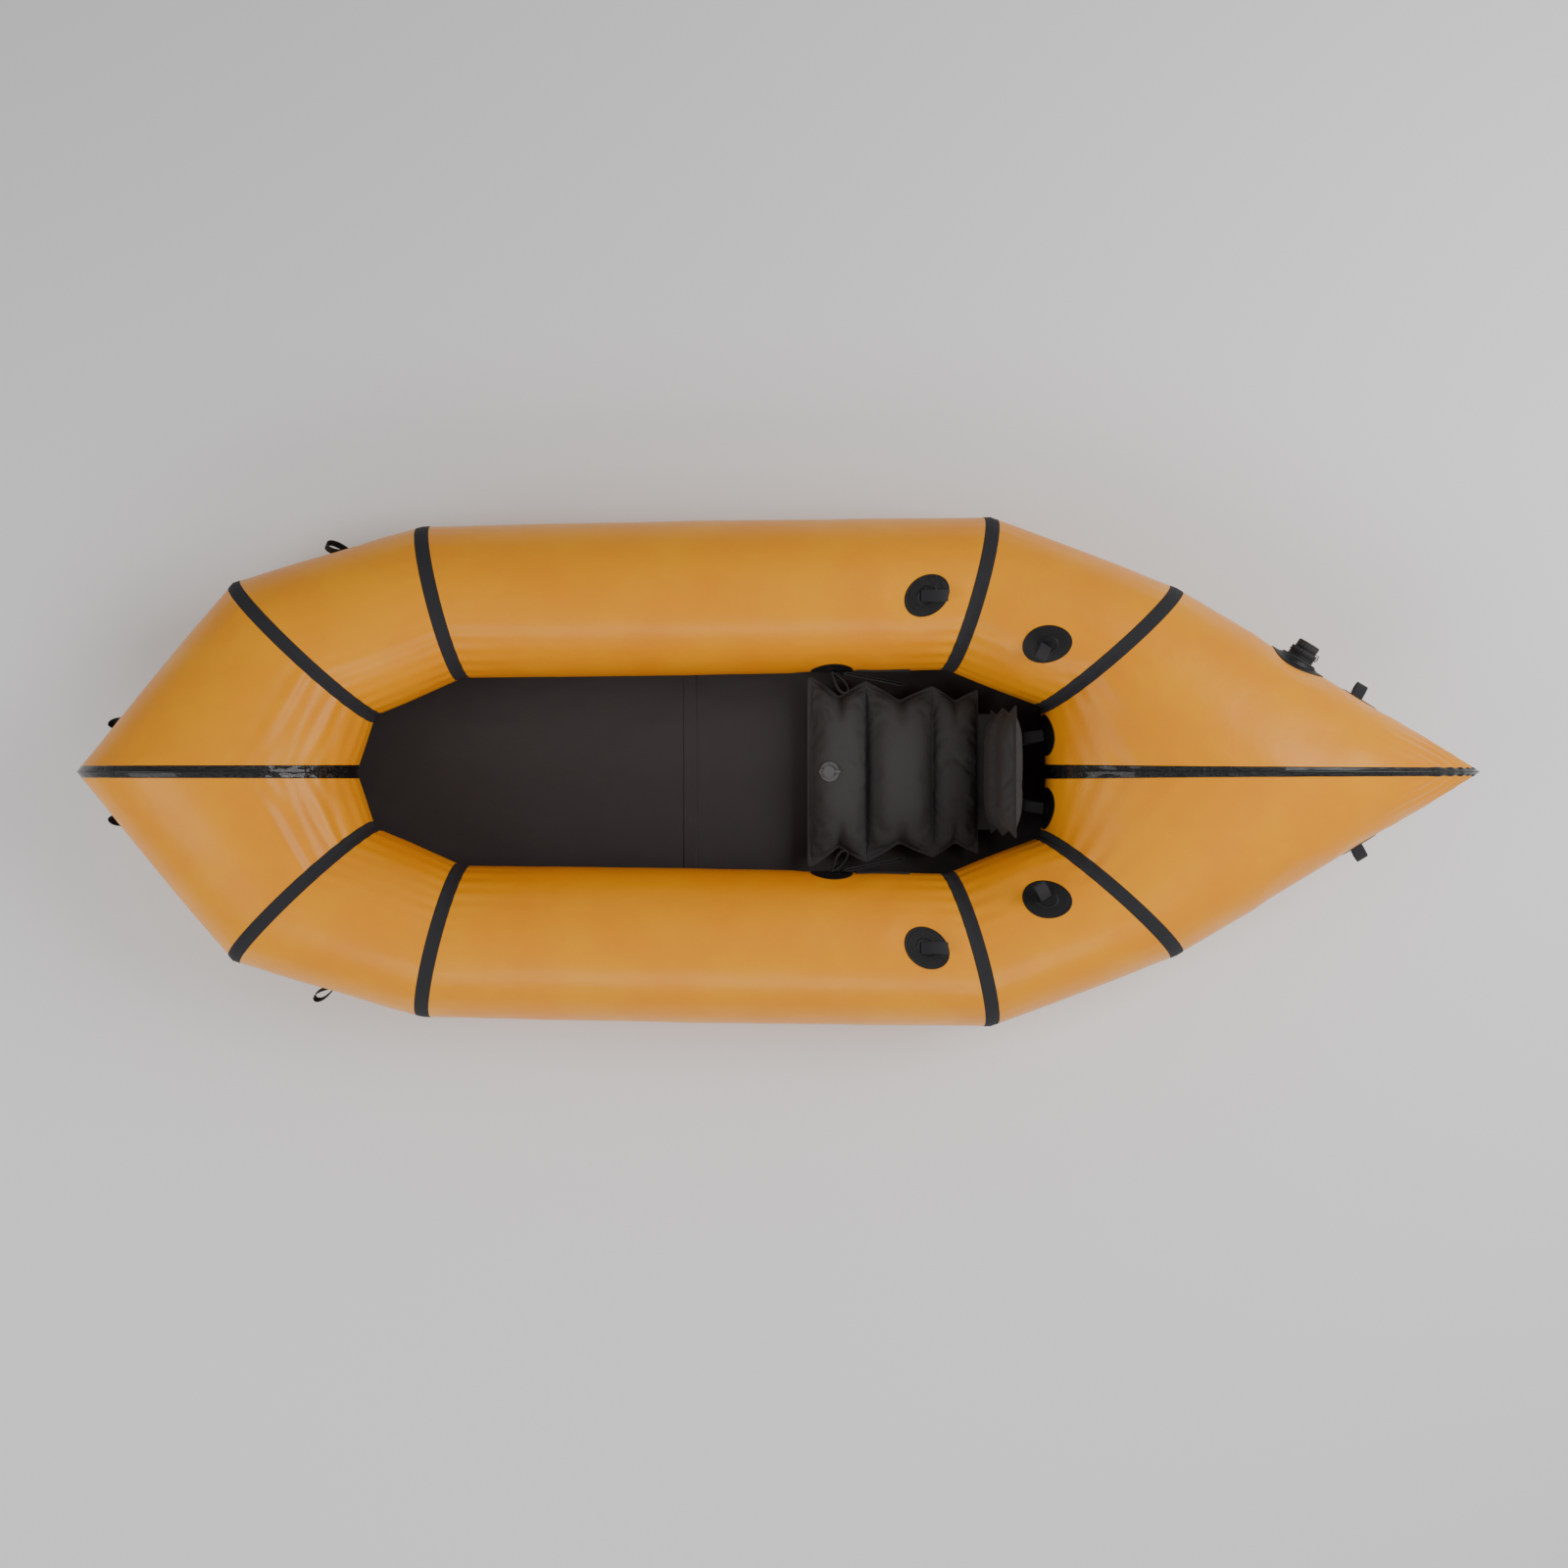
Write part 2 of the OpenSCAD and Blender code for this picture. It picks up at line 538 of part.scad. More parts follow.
module seat_valve_plug() {
    tab_d = 9;
    tab_x = stem_flange_d / 2 - tab_d / 2;
    color(valve_colour) on_seat_valve() {
        difference() {
            union() {
                translate([0, 0, lid_z]) cylinder(d = stem_d + 2, h = plug_t, $fn = round_fn);
                translate([-plug_reach, -plug_strap_w / 2, lid_z])
                    cube([plug_reach + tab_x, plug_strap_w, bead_r]);
                translate([tab_x, 0, lid_z]) cylinder(d = tab_d, h = bead_r, $fn = round_fn);
                translate([0, 0, 1]) cylinder(d = stem_bore_d - 2 * run_gap, h = stem_h, $fn = round_fn);
            }
            translate([tab_x, 0, lid_z - 1]) cylinder(d = 3.4, h = 4, $fn = round_fn);
        }
        translate([bead_r - plug_reach, 0, bead_z]) rotate([90, 0, 0])
            cylinder(r = bead_r, h = plug_strap_w, center = true, $fn = round_fn);
        translate([-plug_reach, -plug_strap_w / 2, bead_z])
            cube([bead_r, plug_strap_w, lid_z + bead_r - bead_z]);
    }
}

// ---------- seat straps ----------
strap_w = 15;
strap_gap = 3;
strap_t = 2 * webbing_t + strap_gap;
anchor_s = [0.81, 0.92];
anchor_angle = 177;
strap_front_reach = 22;                          // the strap starts this far behind the patch's middle
strap_rear_u = 0.53;                             // and ends on the flange of the middle channel
strap_front = local_point(SEAT_LOOP, strap_front_reach, 0, patch_gap + patch_t + 3 * run_gap + strap_t / 2);
strap_rear_y = seat_half(strap_rear_u) + weld_flange - strap_t / 2;
strap_rear_x = seat_front_x - strap_rear_u * seat_l;
strap_fall = atan2(strap_front.z - seat_mid_z - strap_w / 2, strap_front.x - strap_rear_x);
strap_rear = [strap_rear_x, strap_rear_y,
    seat_mid_z + fabric_t + run_gap + strap_w / 2 * cos(strap_fall) + strap_t / 2 * sin(strap_fall)];

// Two plies of webbing on edge, joined round at both ends.
module seat_strap(side) {
    run = strap_rear - strap_front;
    length = norm(run);
    x = run / length;
    y = unit(cross([0, 0, 1], x));
    z = cross(x, y);
    color(webbing_colour) on_side(side)
        multmatrix([[x.x, y.x, z.x, strap_front.x], [x.y, y.y, z.y, strap_front.y],
            [x.z, y.z, z.z, strap_front.z], [0, 0, 0, 1]])
        linear_extrude(strap_w, center = true) difference() {
            union() {
                translate([0, -strap_t / 2]) square([length, strap_t]);
                circle(d = strap_t, $fn = round_fn);
                translate([length, 0]) circle(d = strap_t, $fn = round_fn);
            }
            translate([0, -strap_gap / 2]) square([length, strap_gap]);
            circle(d = strap_gap, $fn = round_fn);
            translate([length, 0]) circle(d = strap_gap, $fn = round_fn);
        }
}

// A length of webbing welded along each side tube as the straps' anchor.
module anchor_webbing() {
    half_turn = webbing_w / tube_d * 180 / PI;
    grid = function (h) [for (k = [0:1]) [for (j = [-1, -0.5, 0, 0.5, 1])
        off_hull(SIDE, anchor_s[k], anchor_angle + j * half_turn, h)]];
    color(webbing_colour) for (side = [port, starboard]) on_side(side)
        sheet_mesh(grid(patch_gap + webbing_t), grid(patch_gap), true);
}

// ---------- inflation valve ----------
flange_t = 3;
neck_h = 13;
body_collar_h = 6;
body_neck_h = 11;
thread_ridge = 1.2;
cap_clear = 0.3;
cap_top_t = 3;

// The valve's own frame: its seat on the patch's bed, outward normal and two directions across.
function valve_frame() =
    let (p = off_hull(VALVE_SPOT[0], VALVE_SPOT[1], VALVE_SPOT[2], patch_gap + patch_t + valve_bed_t),
        n = hull_normal(VALVE_SPOT[0], VALVE_SPOT[1], VALVE_SPOT[2]),
        t = unit(hull_along(VALVE_SPOT[0], VALVE_SPOT[2])))
    [p, n, t, cross(n, t)];

module on_valve() {
    f = valve_frame();
    on_side(starboard)
        multmatrix([[f[2].x, f[3].x, f[1].x, f[0].x], [f[2].y, f[3].y, f[1].y, f[0].y],
            [f[2].z, f[3].z, f[1].z, f[0].z], [0, 0, 0, 1]]) translate([0, 0, skin_gap]) children();
}

module ridges(r, from, count, pitch) {
    for (k = [0:count - 1]) translate([0, 0, from + k * pitch]) rotate_extrude($fn = round_fn)
        polygon([[r - 1, 0], [r, 0], [r + thread_ridge, pitch * 0.25], [r + thread_ridge, pitch * 0.4],
            [r, pitch * 0.65], [r - 1, pitch * 0.65]]);
}

module valve_base() {
    r = valve_neck_d / 2;
    bore = valve_body_d / 2 + cap_clear;
    color(valve_colour) on_valve() difference() {
        union() {
            cylinder(d = valve_flange_d, h = flange_t, $fn = round_fn);
            cylinder(r = r, h = neck_h, $fn = round_fn);
            ridges(r, flange_t + 1, 2, 3);
        }
        translate([0, 0, -1]) cylinder(r = bore, h = neck_h + 2, $fn = round_fn);
    }
}

module valve_body() {
    r = valve_body_d / 2;
    collar = valve_neck_d / 2 + 1;
    top = neck_h + body_collar_h + body_neck_h;
    color(valve_colour) on_valve() difference() {
        union() {
            cylinder(r = r, h = top, $fn = round_fn);
            translate([0, 0, neck_h + skin_gap]) cylinder(r = collar, h = body_collar_h, $fn = round_fn);
        }
        translate([0, 0, 2]) cylinder(r = r - 3, h = top, $fn = round_fn);
        // the seat's air holes
        for (k = [0:5]) rotate(60 * k) translate([r * 0.5, 0, -1]) cylinder(d = 5, h = 4, $fn = round_fn);
        for (k = [0:23]) rotate(15 * k) translate([collar, 0, neck_h - 1]) cylinder(d = 2, h = 10, $fn = 16);
    }
}

module valve_diaphragm() {
    color(valve_colour) on_valve() translate([0, 0, 2 + skin_gap])
        cylinder(r = valve_body_d / 2 - 4, h = 1, $fn = round_fn);
}

cap_seat_z = neck_h + body_collar_h + skin_gap + run_gap;
ring_t = 1.6;
groove_z = cap_seat_z + 1.4;
groove_r = valve_body_d / 2 + cap_clear + 1.1;

module valve_cap() {
    inside_top = neck_h + body_collar_h + body_neck_h + run_gap;
    top = inside_top + cap_top_t;
    r = valve_cap_d / 2;
    grip_z = groove_z + ring_t + run_gap;
    color(valve_colour) on_valve() difference() {
        union() {
            translate([0, 0, cap_seat_z]) cylinder(r = r, h = 1, $fn = round_fn);
            translate([0, 0, cap_seat_z]) cylinder(r = groove_r, h = top - cap_seat_z, $fn = round_fn);
            translate([0, 0, grip_z]) cylinder(r = r, h = top - grip_z, $fn = round_fn);
        }
        translate([0, 0, cap_seat_z - 1])
            cylinder(r = valve_body_d / 2 + cap_clear, h = inside_top - cap_seat_z + 1, $fn = round_fn);
        for (k = [0:17]) rotate(20 * k) translate([r + 0.4, 0, grip_z - 0.1])
            cylinder(d = 3, h = 20, $fn = 16);
    }
}

module cap_ring() {
    color(valve_colour) on_valve() translate([0, 0, groove_z]) difference() {
        union() {
            cylinder(r = valve_cap_d / 2 + 0.6, h = ring_t, $fn = round_fn);
            translate([0, -3, 0]) cube([valve_cap_d / 2 + 5, 6, ring_t]);
        }
        translate([0, 0, -1]) cylinder(r = groove_r + cap_clear, h = ring_t + 2, $fn = round_fn);
    }
}

leash_x = valve_cap_d / 2 + 5 + run_gap;
module cap_leash() {
    r = valve_neck_d / 2;
    color(valve_colour) on_valve() {
        translate([0, 0, neck_h - 2.2]) difference() {
            union() {
                cylinder(r = r + 2.6, h = 1.6, $fn = round_fn);
                translate([0, -3, 0]) cube([leash_x + 1.6, 6, 1.6]);
            }
            translate([0, 0, -1]) cylinder(r = r + skin_gap, h = 4, $fn = round_fn);
        }
        translate([leash_x, -3, neck_h - 2.2]) cube([1.6, 6, groove_z + ring_t - neck_h + 2.2]);
    }
}

// ---------- assembly ----------
hull_panel(BOW, port);  // bow_panel_port
hull_panel(BOW, starboard);  // bow_panel_starboard
hull_panel(FORE_SHOULDER, port);  // fore_shoulder_panel_port
hull_panel(FORE_SHOULDER, starboard);  // fore_shoulder_panel_starboard
hull_panel(SIDE, port);  // side_panel_port
hull_panel(SIDE, starboard);  // side_panel_starboard
hull_panel(AFT_SHOULDER, port);  // aft_shoulder_panel_port
hull_panel(AFT_SHOULDER, starboard);  // aft_shoulder_panel_starboard
hull_panel(STERN, port);  // stern_panel_port
hull_panel(STERN, starboard);  // stern_panel_starboard
seam_tape(0, port);  // bow_centre_tape
seam_tape(1, port);  // bow_tape_port
seam_tape(1, starboard);  // bow_tape_starboard
seam_tape(2, port);  // fore_tape_port
seam_tape(2, starboard);  // fore_tape_starboard
seam_tape(3, port);  // aft_tape_port
seam_tape(3, starboard);  // aft_tape_starboard
seam_tape(4, port);  // stern_tape_port
seam_tape(4, starboard);  // stern_tape_starboard
seam_tape(5, port);  // stern_centre_tape
floor_sheet(FORE_ROWS);  // floor_fore
floor_sheet(AFT_ROWS);  // floor_aft
floor_lap_band();
floor_rim_bands();
seat_top_sheet();
seat_bottom_sheet();
backrest_front_sheet();
backrest_rear_sheet();
backrest_hinge_web();
seat_valve_stem();
seat_valve_plug();
seat_strap(port);  // seat_strap_port
seat_strap(starboard);  // seat_strap_starboard
anchor_webbing();
for (side = [port, starboard]) {  // deck_patches
    patch(DECK, patch_d, patch_ring_d, patch_ring_t, side);
    patch(SHOULDER, patch_d, patch_ring_d, patch_ring_t, side);
}
union() {  // bow_patches
    for (side = [port, starboard]) patch(BOW_LOOP, patch_d, patch_ring_d, patch_ring_t, side);
    patch(FORE_LOOP_PORT, patch_d, patch_ring_d, patch_ring_t, port);
    patch(FORE_LOOP_STARBOARD, patch_d, patch_ring_d, patch_ring_t, starboard);
}
for (side = [port, starboard])  // stern_patches
    patch(STERN_LOOP, patch_d, patch_ring_d, patch_ring_t, side);
for (side = [port, starboard]) {  // cockpit_patches
    patch(SEAT_LOOP, patch_d, patch_ring_d, patch_ring_t, side);
    patch(BACKREST_LOOP, patch_d, patch_ring_d, patch_ring_t, side);
}
webbing_loop(DECK, port);  // deck_loop_port
webbing_loop(DECK, starboard);  // deck_loop_starboard
webbing_loop(SHOULDER, port);  // shoulder_loop_port
webbing_loop(SHOULDER, starboard);  // shoulder_loop_starboard
webbing_loop(BOW_LOOP, port);  // bow_loop_port
webbing_loop(BOW_LOOP, starboard);  // bow_loop_starboard
webbing_loop(FORE_LOOP_PORT, port);  // fore_loop_port
webbing_loop(FORE_LOOP_STARBOARD, starboard);  // fore_loop_starboard
webbing_loop(STERN_LOOP, port);  // stern_loop_port
webbing_loop(STERN_LOOP, starboard);  // stern_loop_starboard
webbing_loop(SEAT_LOOP, port);  // seat_loop_port
webbing_loop(SEAT_LOOP, starboard);  // seat_loop_starboard
webbing_loop(BACKREST_LOOP, port);  // backrest_loop_port
webbing_loop(BACKREST_LOOP, starboard);  // backrest_loop_starboard
valve_patch();
valve_base();
valve_body();
valve_diaphragm();
cap_leash();
cap_ring();
valve_cap();
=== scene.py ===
"""An inflatable packraft kayak, dressed on its fixed CAD frame.

The hull is ten welded tube panels under glossy seam tapes, with a fabric floor, an inflatable seat
and backrest, webbing lashing loops on round patches, and a screw-capped inflation valve.
Everything is in metres: +X points to the bow, +Y to port and +Z up.
"""

import logging
import math
from dataclasses import dataclass, field
from enum import IntEnum

import bmesh
import bpy
import numpy as np
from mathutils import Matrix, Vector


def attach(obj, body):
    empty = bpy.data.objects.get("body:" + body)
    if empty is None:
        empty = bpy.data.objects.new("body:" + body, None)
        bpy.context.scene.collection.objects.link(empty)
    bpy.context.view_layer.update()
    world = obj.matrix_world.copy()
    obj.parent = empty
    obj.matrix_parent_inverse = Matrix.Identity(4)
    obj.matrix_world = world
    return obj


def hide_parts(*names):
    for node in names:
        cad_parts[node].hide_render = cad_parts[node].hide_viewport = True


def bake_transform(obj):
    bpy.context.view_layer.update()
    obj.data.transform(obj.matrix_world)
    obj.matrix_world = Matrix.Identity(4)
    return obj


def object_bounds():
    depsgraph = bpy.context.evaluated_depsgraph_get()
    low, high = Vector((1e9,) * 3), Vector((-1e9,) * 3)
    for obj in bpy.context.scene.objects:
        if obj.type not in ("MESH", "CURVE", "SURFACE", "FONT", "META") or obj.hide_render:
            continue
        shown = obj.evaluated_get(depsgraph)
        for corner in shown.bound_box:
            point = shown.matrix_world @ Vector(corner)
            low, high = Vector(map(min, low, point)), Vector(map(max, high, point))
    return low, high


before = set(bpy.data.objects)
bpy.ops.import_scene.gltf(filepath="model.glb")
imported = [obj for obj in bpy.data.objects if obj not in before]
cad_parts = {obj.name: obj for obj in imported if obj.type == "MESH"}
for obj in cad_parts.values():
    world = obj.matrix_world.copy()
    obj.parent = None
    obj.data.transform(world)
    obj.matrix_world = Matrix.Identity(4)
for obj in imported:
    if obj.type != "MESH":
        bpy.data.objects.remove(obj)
CAD_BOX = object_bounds()

log = logging.getLogger("packraft")
Array = np.ndarray
MM = 0.001
HULL = "hull"
TURN = 2 * np.pi


class Side(IntEnum):
    """The two sides of the boat, as the sign of Y."""

    PORT = 1
    STARBOARD = -1

    @property
    def label(self) -> str:
        """The side's name in node names."""
        return self.name.lower()


class Panel(IntEnum):
    """The hull's five panels on each side, from the bow to the stern."""

    BOW = 0
    FORE_SHOULDER = 1
    SIDE = 2
    AFT_SHOULDER = 3
    STERN = 4


def unit(v: Array) -> Array:
    """Vectors at length one."""
    return v / np.maximum(np.linalg.norm(v, axis=-1, keepdims=True), 1e-12)


def smooth(low: float, high: float, x: Array) -> Array:
    """A soft step from 0 at low to 1 at high: 3t^2 - 2t^3."""
    t = np.clip((x - low) / (high - low), 0, 1)
    return t * t * (3 - 2 * t)


def plateau(rise: tuple[float, float], fall: tuple[float, float], f: Array) -> Array:
    """1 between two soft steps, the first up and the second down, with their ends in degrees."""
    return smooth(*map(math.radians, rise), f) * (1 - smooth(*map(math.radians, fall), f))


def on_side(points: Array, side: Side) -> Array:
    """Points of the port side, or their mirror image to starboard."""
    return points * np.array([1.0, float(side), 1.0])


def ripples(x: Array, y: Array, seed: int, size: float, octaves: int = 3) -> Array:
    """Smooth ripples from about -1 to 1: a sum of bent sine waves in random directions.

    Args:
        x: First coordinate, in metres.
        y: Second coordinate, in metres.
        seed: Which pattern.
        size: Wavelength of the longest ripple.
        octaves: How many layers there are, each 1.9 times finer and 0.55 as high as the last.

    Returns:
        The height at each point.
    """
    rng = np.random.default_rng(seed)
    total, weight = np.zeros(np.broadcast(x, y).shape), 0.0
    for octave in range(octaves):
        wave, share = TURN / (size / 1.9**octave), 0.55**octave
        for _ in range(3):
            turn, shift, bend = rng.uniform(0, TURN, 3)
            along = x * np.cos(turn) + y * np.sin(turn)
            across = y * np.cos(turn) - x * np.sin(turn)
            total += share * np.sin(wave * along + 1.3 * np.sin(0.7 * wave * across + bend) + shift)
        weight += share * 1.8
    return total / weight


# ---------------------------------------------------------------- meshes
@dataclass
class Shell:
    """Points, faces and the texture place of every face corner."""

    points: Array
    faces: list
    uv: Array


def tube_shell(rings: Array, uv: Array, wrap: bool, caps: bool = False) -> Shell:
    """Closed rings of points joined ring to ring.

    Args:
        rings: Points as (rings, points in a ring, 3).
        uv: Texture places as (rings + 1 if wrapped, points in a ring + 1, 2).
        wrap: Whether the last ring joins the first.
        caps: Whether the first and last rings are closed with a face each.

    Returns:
        The shell, facing outwards.
    """
    m, n, _ = rings.shape
    r, c = np.meshgrid(np.arange(m if wrap else m - 1), np.arange(n), indexing="ij")
    rows, columns = np.stack([r, r, r + 1, r + 1], -1), np.stack([c, c + 1, c + 1, c], -1)
    quads = (rows % m) * n + columns % n
    corner_uv = uv[rows, columns].reshape(-1, 2)
    faces = quads.reshape(-1, 4)
    points = rings.reshape(-1, 3)
    tris = np.concatenate([faces[:, :3], faces[:, [0, 2, 3]]])
    middle = points.mean(0)
    a, b, d = (points[tris[:, k]] - middle for k in range(3))
    inside_out = np.einsum("ij,ij->", a, np.cross(b, d)) < 0
    ends = [np.arange(n)[::-1], np.arange((m - 1) * n, m * n)] if caps else []
    if caps:
        corner_uv = np.vstack([corner_uv, uv[0, :n][::-1], uv[m - 1, :n]])
    lists = faces.tolist() + [e.tolist() for e in ends]
    if inside_out:
        starts = np.cumsum([0] + [len(f) for f in lists])
        order = np.concatenate([np.arange(starts[k], starts[k + 1])[::-1] for k in range(len(lists))]) \
            if caps else np.arange(faces.size).reshape(-1, 4)[:, ::-1].reshape(-1)
        lists = [f[::-1] for f in lists]
        corner_uv = corner_uv[order]
    return Shell(points, lists, corner_uv)


def slab_shell(upper: Array, lower: Array, uv: Array) -> Shell:
    """A thin closed sheet between two grids of points with the same rows and columns.

    Args:
        upper: Points of one wall as (rows, columns, 3).
        lower: Points of the other wall.
        uv: Texture places as (rows, columns, 2), shared by both walls.

    Returns:
        The shell, facing outwards, with its two ends closed by strips between the walls.
    """
    rings = np.concatenate([upper, lower[:, ::-1]], axis=1)
    ring_uv = np.concatenate([uv, uv[:, ::-1], uv[:, :1]], axis=1)
    shell = tube_shell(rings, ring_uv, wrap=False)
    m, n = upper.shape[:2]
    k = np.arange(n - 1)
    strips, strip_uv = [], []
    for row, turn in ((0, 1), (m - 1, -1)):
        start = row * 2 * n
        quad = np.stack([start + k, start + k + 1, start + 2 * n - 2 - k, start + 2 * n - 1 - k], -1)
        strips.append(quad[:, ::turn])
        strip_uv.append(np.stack([uv[row, k], uv[row, k + 1], uv[row, k + 1], uv[row, k]], 1)[:, ::turn])
    first_edge = shell.faces[0][:2]
    if (first_edge[0] < first_edge[1]) == (strips[0][0, 0] < strips[0][0, 1]):
        strips = [s[:, ::-1] for s in strips]
        strip_uv = [s[:, ::-1] for s in strip_uv]
    shell.faces += np.concatenate(strips).tolist()
    shell.uv = np.vstack([shell.uv, np.concatenate(strip_uv).reshape(-1, 2)])
    return shell


def make_piece(name: str, *shells: Shell) -> bpy.types.Object:
    """One smooth-shaded object at the origin from one or more shells."""
    starts = np.cumsum([0] + [len(s.points) for s in shells])
    faces = [[int(start) + i for i in f] for start, s in zip(starts, shells) for f in s.faces]
    mesh = bpy.data.meshes.new(name)
    mesh.from_pydata(np.vstack([s.points for s in shells]).tolist(), [], faces)
    layer = mesh.uv_layers.new(name="surface")
    layer.data.foreach_set("uv", np.vstack([s.uv for s in shells]).astype(np.float32).reshape(-1))
    recalculated = bmesh.new()
    recalculated.from_mesh(mesh)
    bmesh.ops.recalc_face_normals(recalculated, faces=recalculated.faces)
    recalculated.to_mesh(mesh)
    recalculated.free()
    mesh.shade_smooth()
    piece = bpy.data.objects.new(name, mesh)
    bpy.context.collection.objects.link(piece)
    return piece


def dress(piece: bpy.types.Object, finish: "Finish", body: str | None, *nodes: str) -> bpy.types.Object:
    """Gives a piece its material, its body and the CAD nodes that it stands for.

    Args:
        piece: The piece.
        finish: Its finish.
        body: The body it rides on, or None to leave it unattached.
        nodes: The CAD nodes that it replaces.

    Returns:
        The same piece.
    """
    piece.data.materials.clear()
    piece.data.materials.append(finish.material())
    if body:
        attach(piece, body)
    if nodes:
        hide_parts(*nodes)
    log.info("%s: %d faces, %s", piece.name, len(piece.data.polygons), body or "blended")
    return piece


def band_section(width: float, thick: float, count: int = 5) -> tuple[Array, Array]:
    """A flat band's section: two straight sides with half-round edges.

    Args:
        width: Across the band.
        thick: Its thickness.
        count: Points along each side.

    Returns:
        Places across the band and through its thickness.
    """
    half, edge = width / 2, thick / 2
    flat = np.linspace(-half + edge, half - edge, count)
    bend = np.radians([60, 30, 0, -30, -60])
    round_across = half - edge + edge * np.cos(bend)
    across = np.concatenate([flat, round_across, flat[::-1], -round_across])
    side, round_through = np.full(count, edge), edge * np.sin(bend)
    through = np.concatenate([side, round_through, -side, -round_through])
    return across, through


def ribbon_shell(path: Array, axis: Array, width: float, thick: float, closed: bool) -> Shell:
    """A woven band carried along a path, with its width along one axis.

    Args:
        path: The band's middle line as (points, 3).
        axis: Direction of the band's width.
        width: Across the band.
        thick: Its thickness.
        closed: Whether the path is a closed loop.

    Returns:
        The band, with texture places across it and along it in metres.
    """
    if closed:
        tangent = unit(np.roll(path, -1, 0) - np.roll(path, 1, 0))
    else:
        tangent = unit(np.gradient(path, axis=0))
    normal = unit(np.cross(tangent, axis))
    across, through = band_section(width, thick)
    rings = path[:, None] + across[None, :, None] * axis + through[None, :, None] * normal[:, None]
    line = np.vstack([path, path[:1]]) if closed else path
    steps = np.concatenate([[0], np.cumsum(np.linalg.norm(np.diff(line, axis=0), axis=1))])
    u = np.append(across, across[0])
    uv = np.stack(np.broadcast_arrays(u[None, :], steps[:, None]), -1)
    return tube_shell(rings, uv, wrap=closed, caps=not closed)


def lathe_shell(radius: Array, height: Array, origin: Array, axes: Array, count: int = 96,
                wave: Array | None = None) -> Shell:
    """A turned part: a closed outline of radius against height, carried round the axis.

    Args:
        radius: The outline's distance from the axis.
        height: The outline's place along the axis.
        origin: Where the axis starts.
        axes: Two directions across and one along the axis, as rows.
        count: Points around.
        wave: Added radius as (outline points, count), for ribs and grips.

    Returns:
        The part as a closed ring.
    """
    turn = np.arange(count) * TURN / count
    r = radius[:, None] + (0 if wave is None else wave)
    rings = origin + (r * np.cos(turn))[..., None] * axes[0] + (r * np.sin(turn))[..., None] * axes[1] \
        + np.broadcast_to(height[:, None], (len(height), count))[..., None] * axes[2]
    outline = np.concatenate([[0], np.cumsum(np.hypot(np.diff(radius, append=radius[0]),
                                                      np.diff(height, append=height[0])))])
    around = np.arange(count + 1) * TURN / count * radius.max()
    uv = np.stack(np.broadcast_arrays(outline[:, None], around[None]), -1)
    return tube_shell(rings, uv, wrap=True)


# ---------------------------------------------------------------- finishes
@dataclass
class NodeSheet:
    """A node tree with short ways to add and join its nodes."""

    tree: bpy.types.NodeTree

    def add(self, kind: str, **settings) -> bpy.types.Node:
        """A new node with the given properties."""
        node = self.tree.nodes.new(kind)
        for name, value in settings.items():
            setattr(node, name, value)
        return node

    def feed(self, socket: bpy.types.NodeSocket, value) -> None:
        """Joins an output socket to an input, or sets the input's own value."""
        if isinstance(value, bpy.types.NodeSocket):
            self.tree.links.new(value, socket)
        else:
            socket.default_value = value

    def sum(self, operation: str, *values, clamp: bool = False) -> bpy.types.NodeSocket:
        """The result of a Math node."""
        node = self.add("ShaderNodeMath", operation=operation, use_clamp=clamp)
        for socket, value in zip(node.inputs, values):
            self.feed(socket, value)
        return node.outputs[0]

    def noise(self, vector, scale: float, detail: float = 3.0, rough: float = 0.55) -> bpy.types.NodeSocket:
        """A noise texture's value."""
        node = self.add("ShaderNodeTexNoise")
        for name, value in (("Vector", vector), ("Scale", scale), ("Detail", detail), ("Roughness", rough)):
            self.feed(node.inputs[name], value)
        return node.outputs["Fac"]

    def spread(self, value, low: float, high: float, out_low: float, out_high: float) -> bpy.types.NodeSocket:
        """A value carried from one range to another."""
        node = self.add("ShaderNodeMapRange")
        for socket, number in zip(node.inputs, (value, low, high, out_low, out_high)):
            self.feed(socket, number)
        return node.outputs[0]

    def blend_colours(self, share, first, second) -> bpy.types.NodeSocket:
        """A mix of two colours."""
        node = self.add("ShaderNodeMix", data_type="RGBA")
        for socket, value in ((node.inputs[0], share), (node.inputs[6], first), (node.inputs[7], second)):
            self.feed(socket, value)
        return node.outputs[2]


def new_group(name: str, inputs: dict[str, tuple[str, float]],
              outputs: list[str]) -> tuple[NodeSheet, dict, dict]:
    """An empty shader node group.

    Args:
        name: The group's name.
        inputs: Socket names with their kind and default value.
        outputs: Names of its number outputs.

    Returns:
        The group's sheet, its input sockets and its output sockets, by name.
    """
    tree = bpy.data.node_groups.new(name, "ShaderNodeTree")
    for label, (kind, value) in inputs.items():
        socket = tree.interface.new_socket(label, in_out="INPUT", socket_type=kind)
        if kind == "NodeSocketFloat":
            socket.default_value = value
    for label in outputs:
        tree.interface.new_socket(label, in_out="OUTPUT", socket_type="NodeSocketFloat")
    sheet = NodeSheet(tree)
    start, end = sheet.add("NodeGroupInput"), sheet.add("NodeGroupOutput")
    return sheet, {s.name: s for s in start.outputs}, {s.name: s for s in end.inputs}


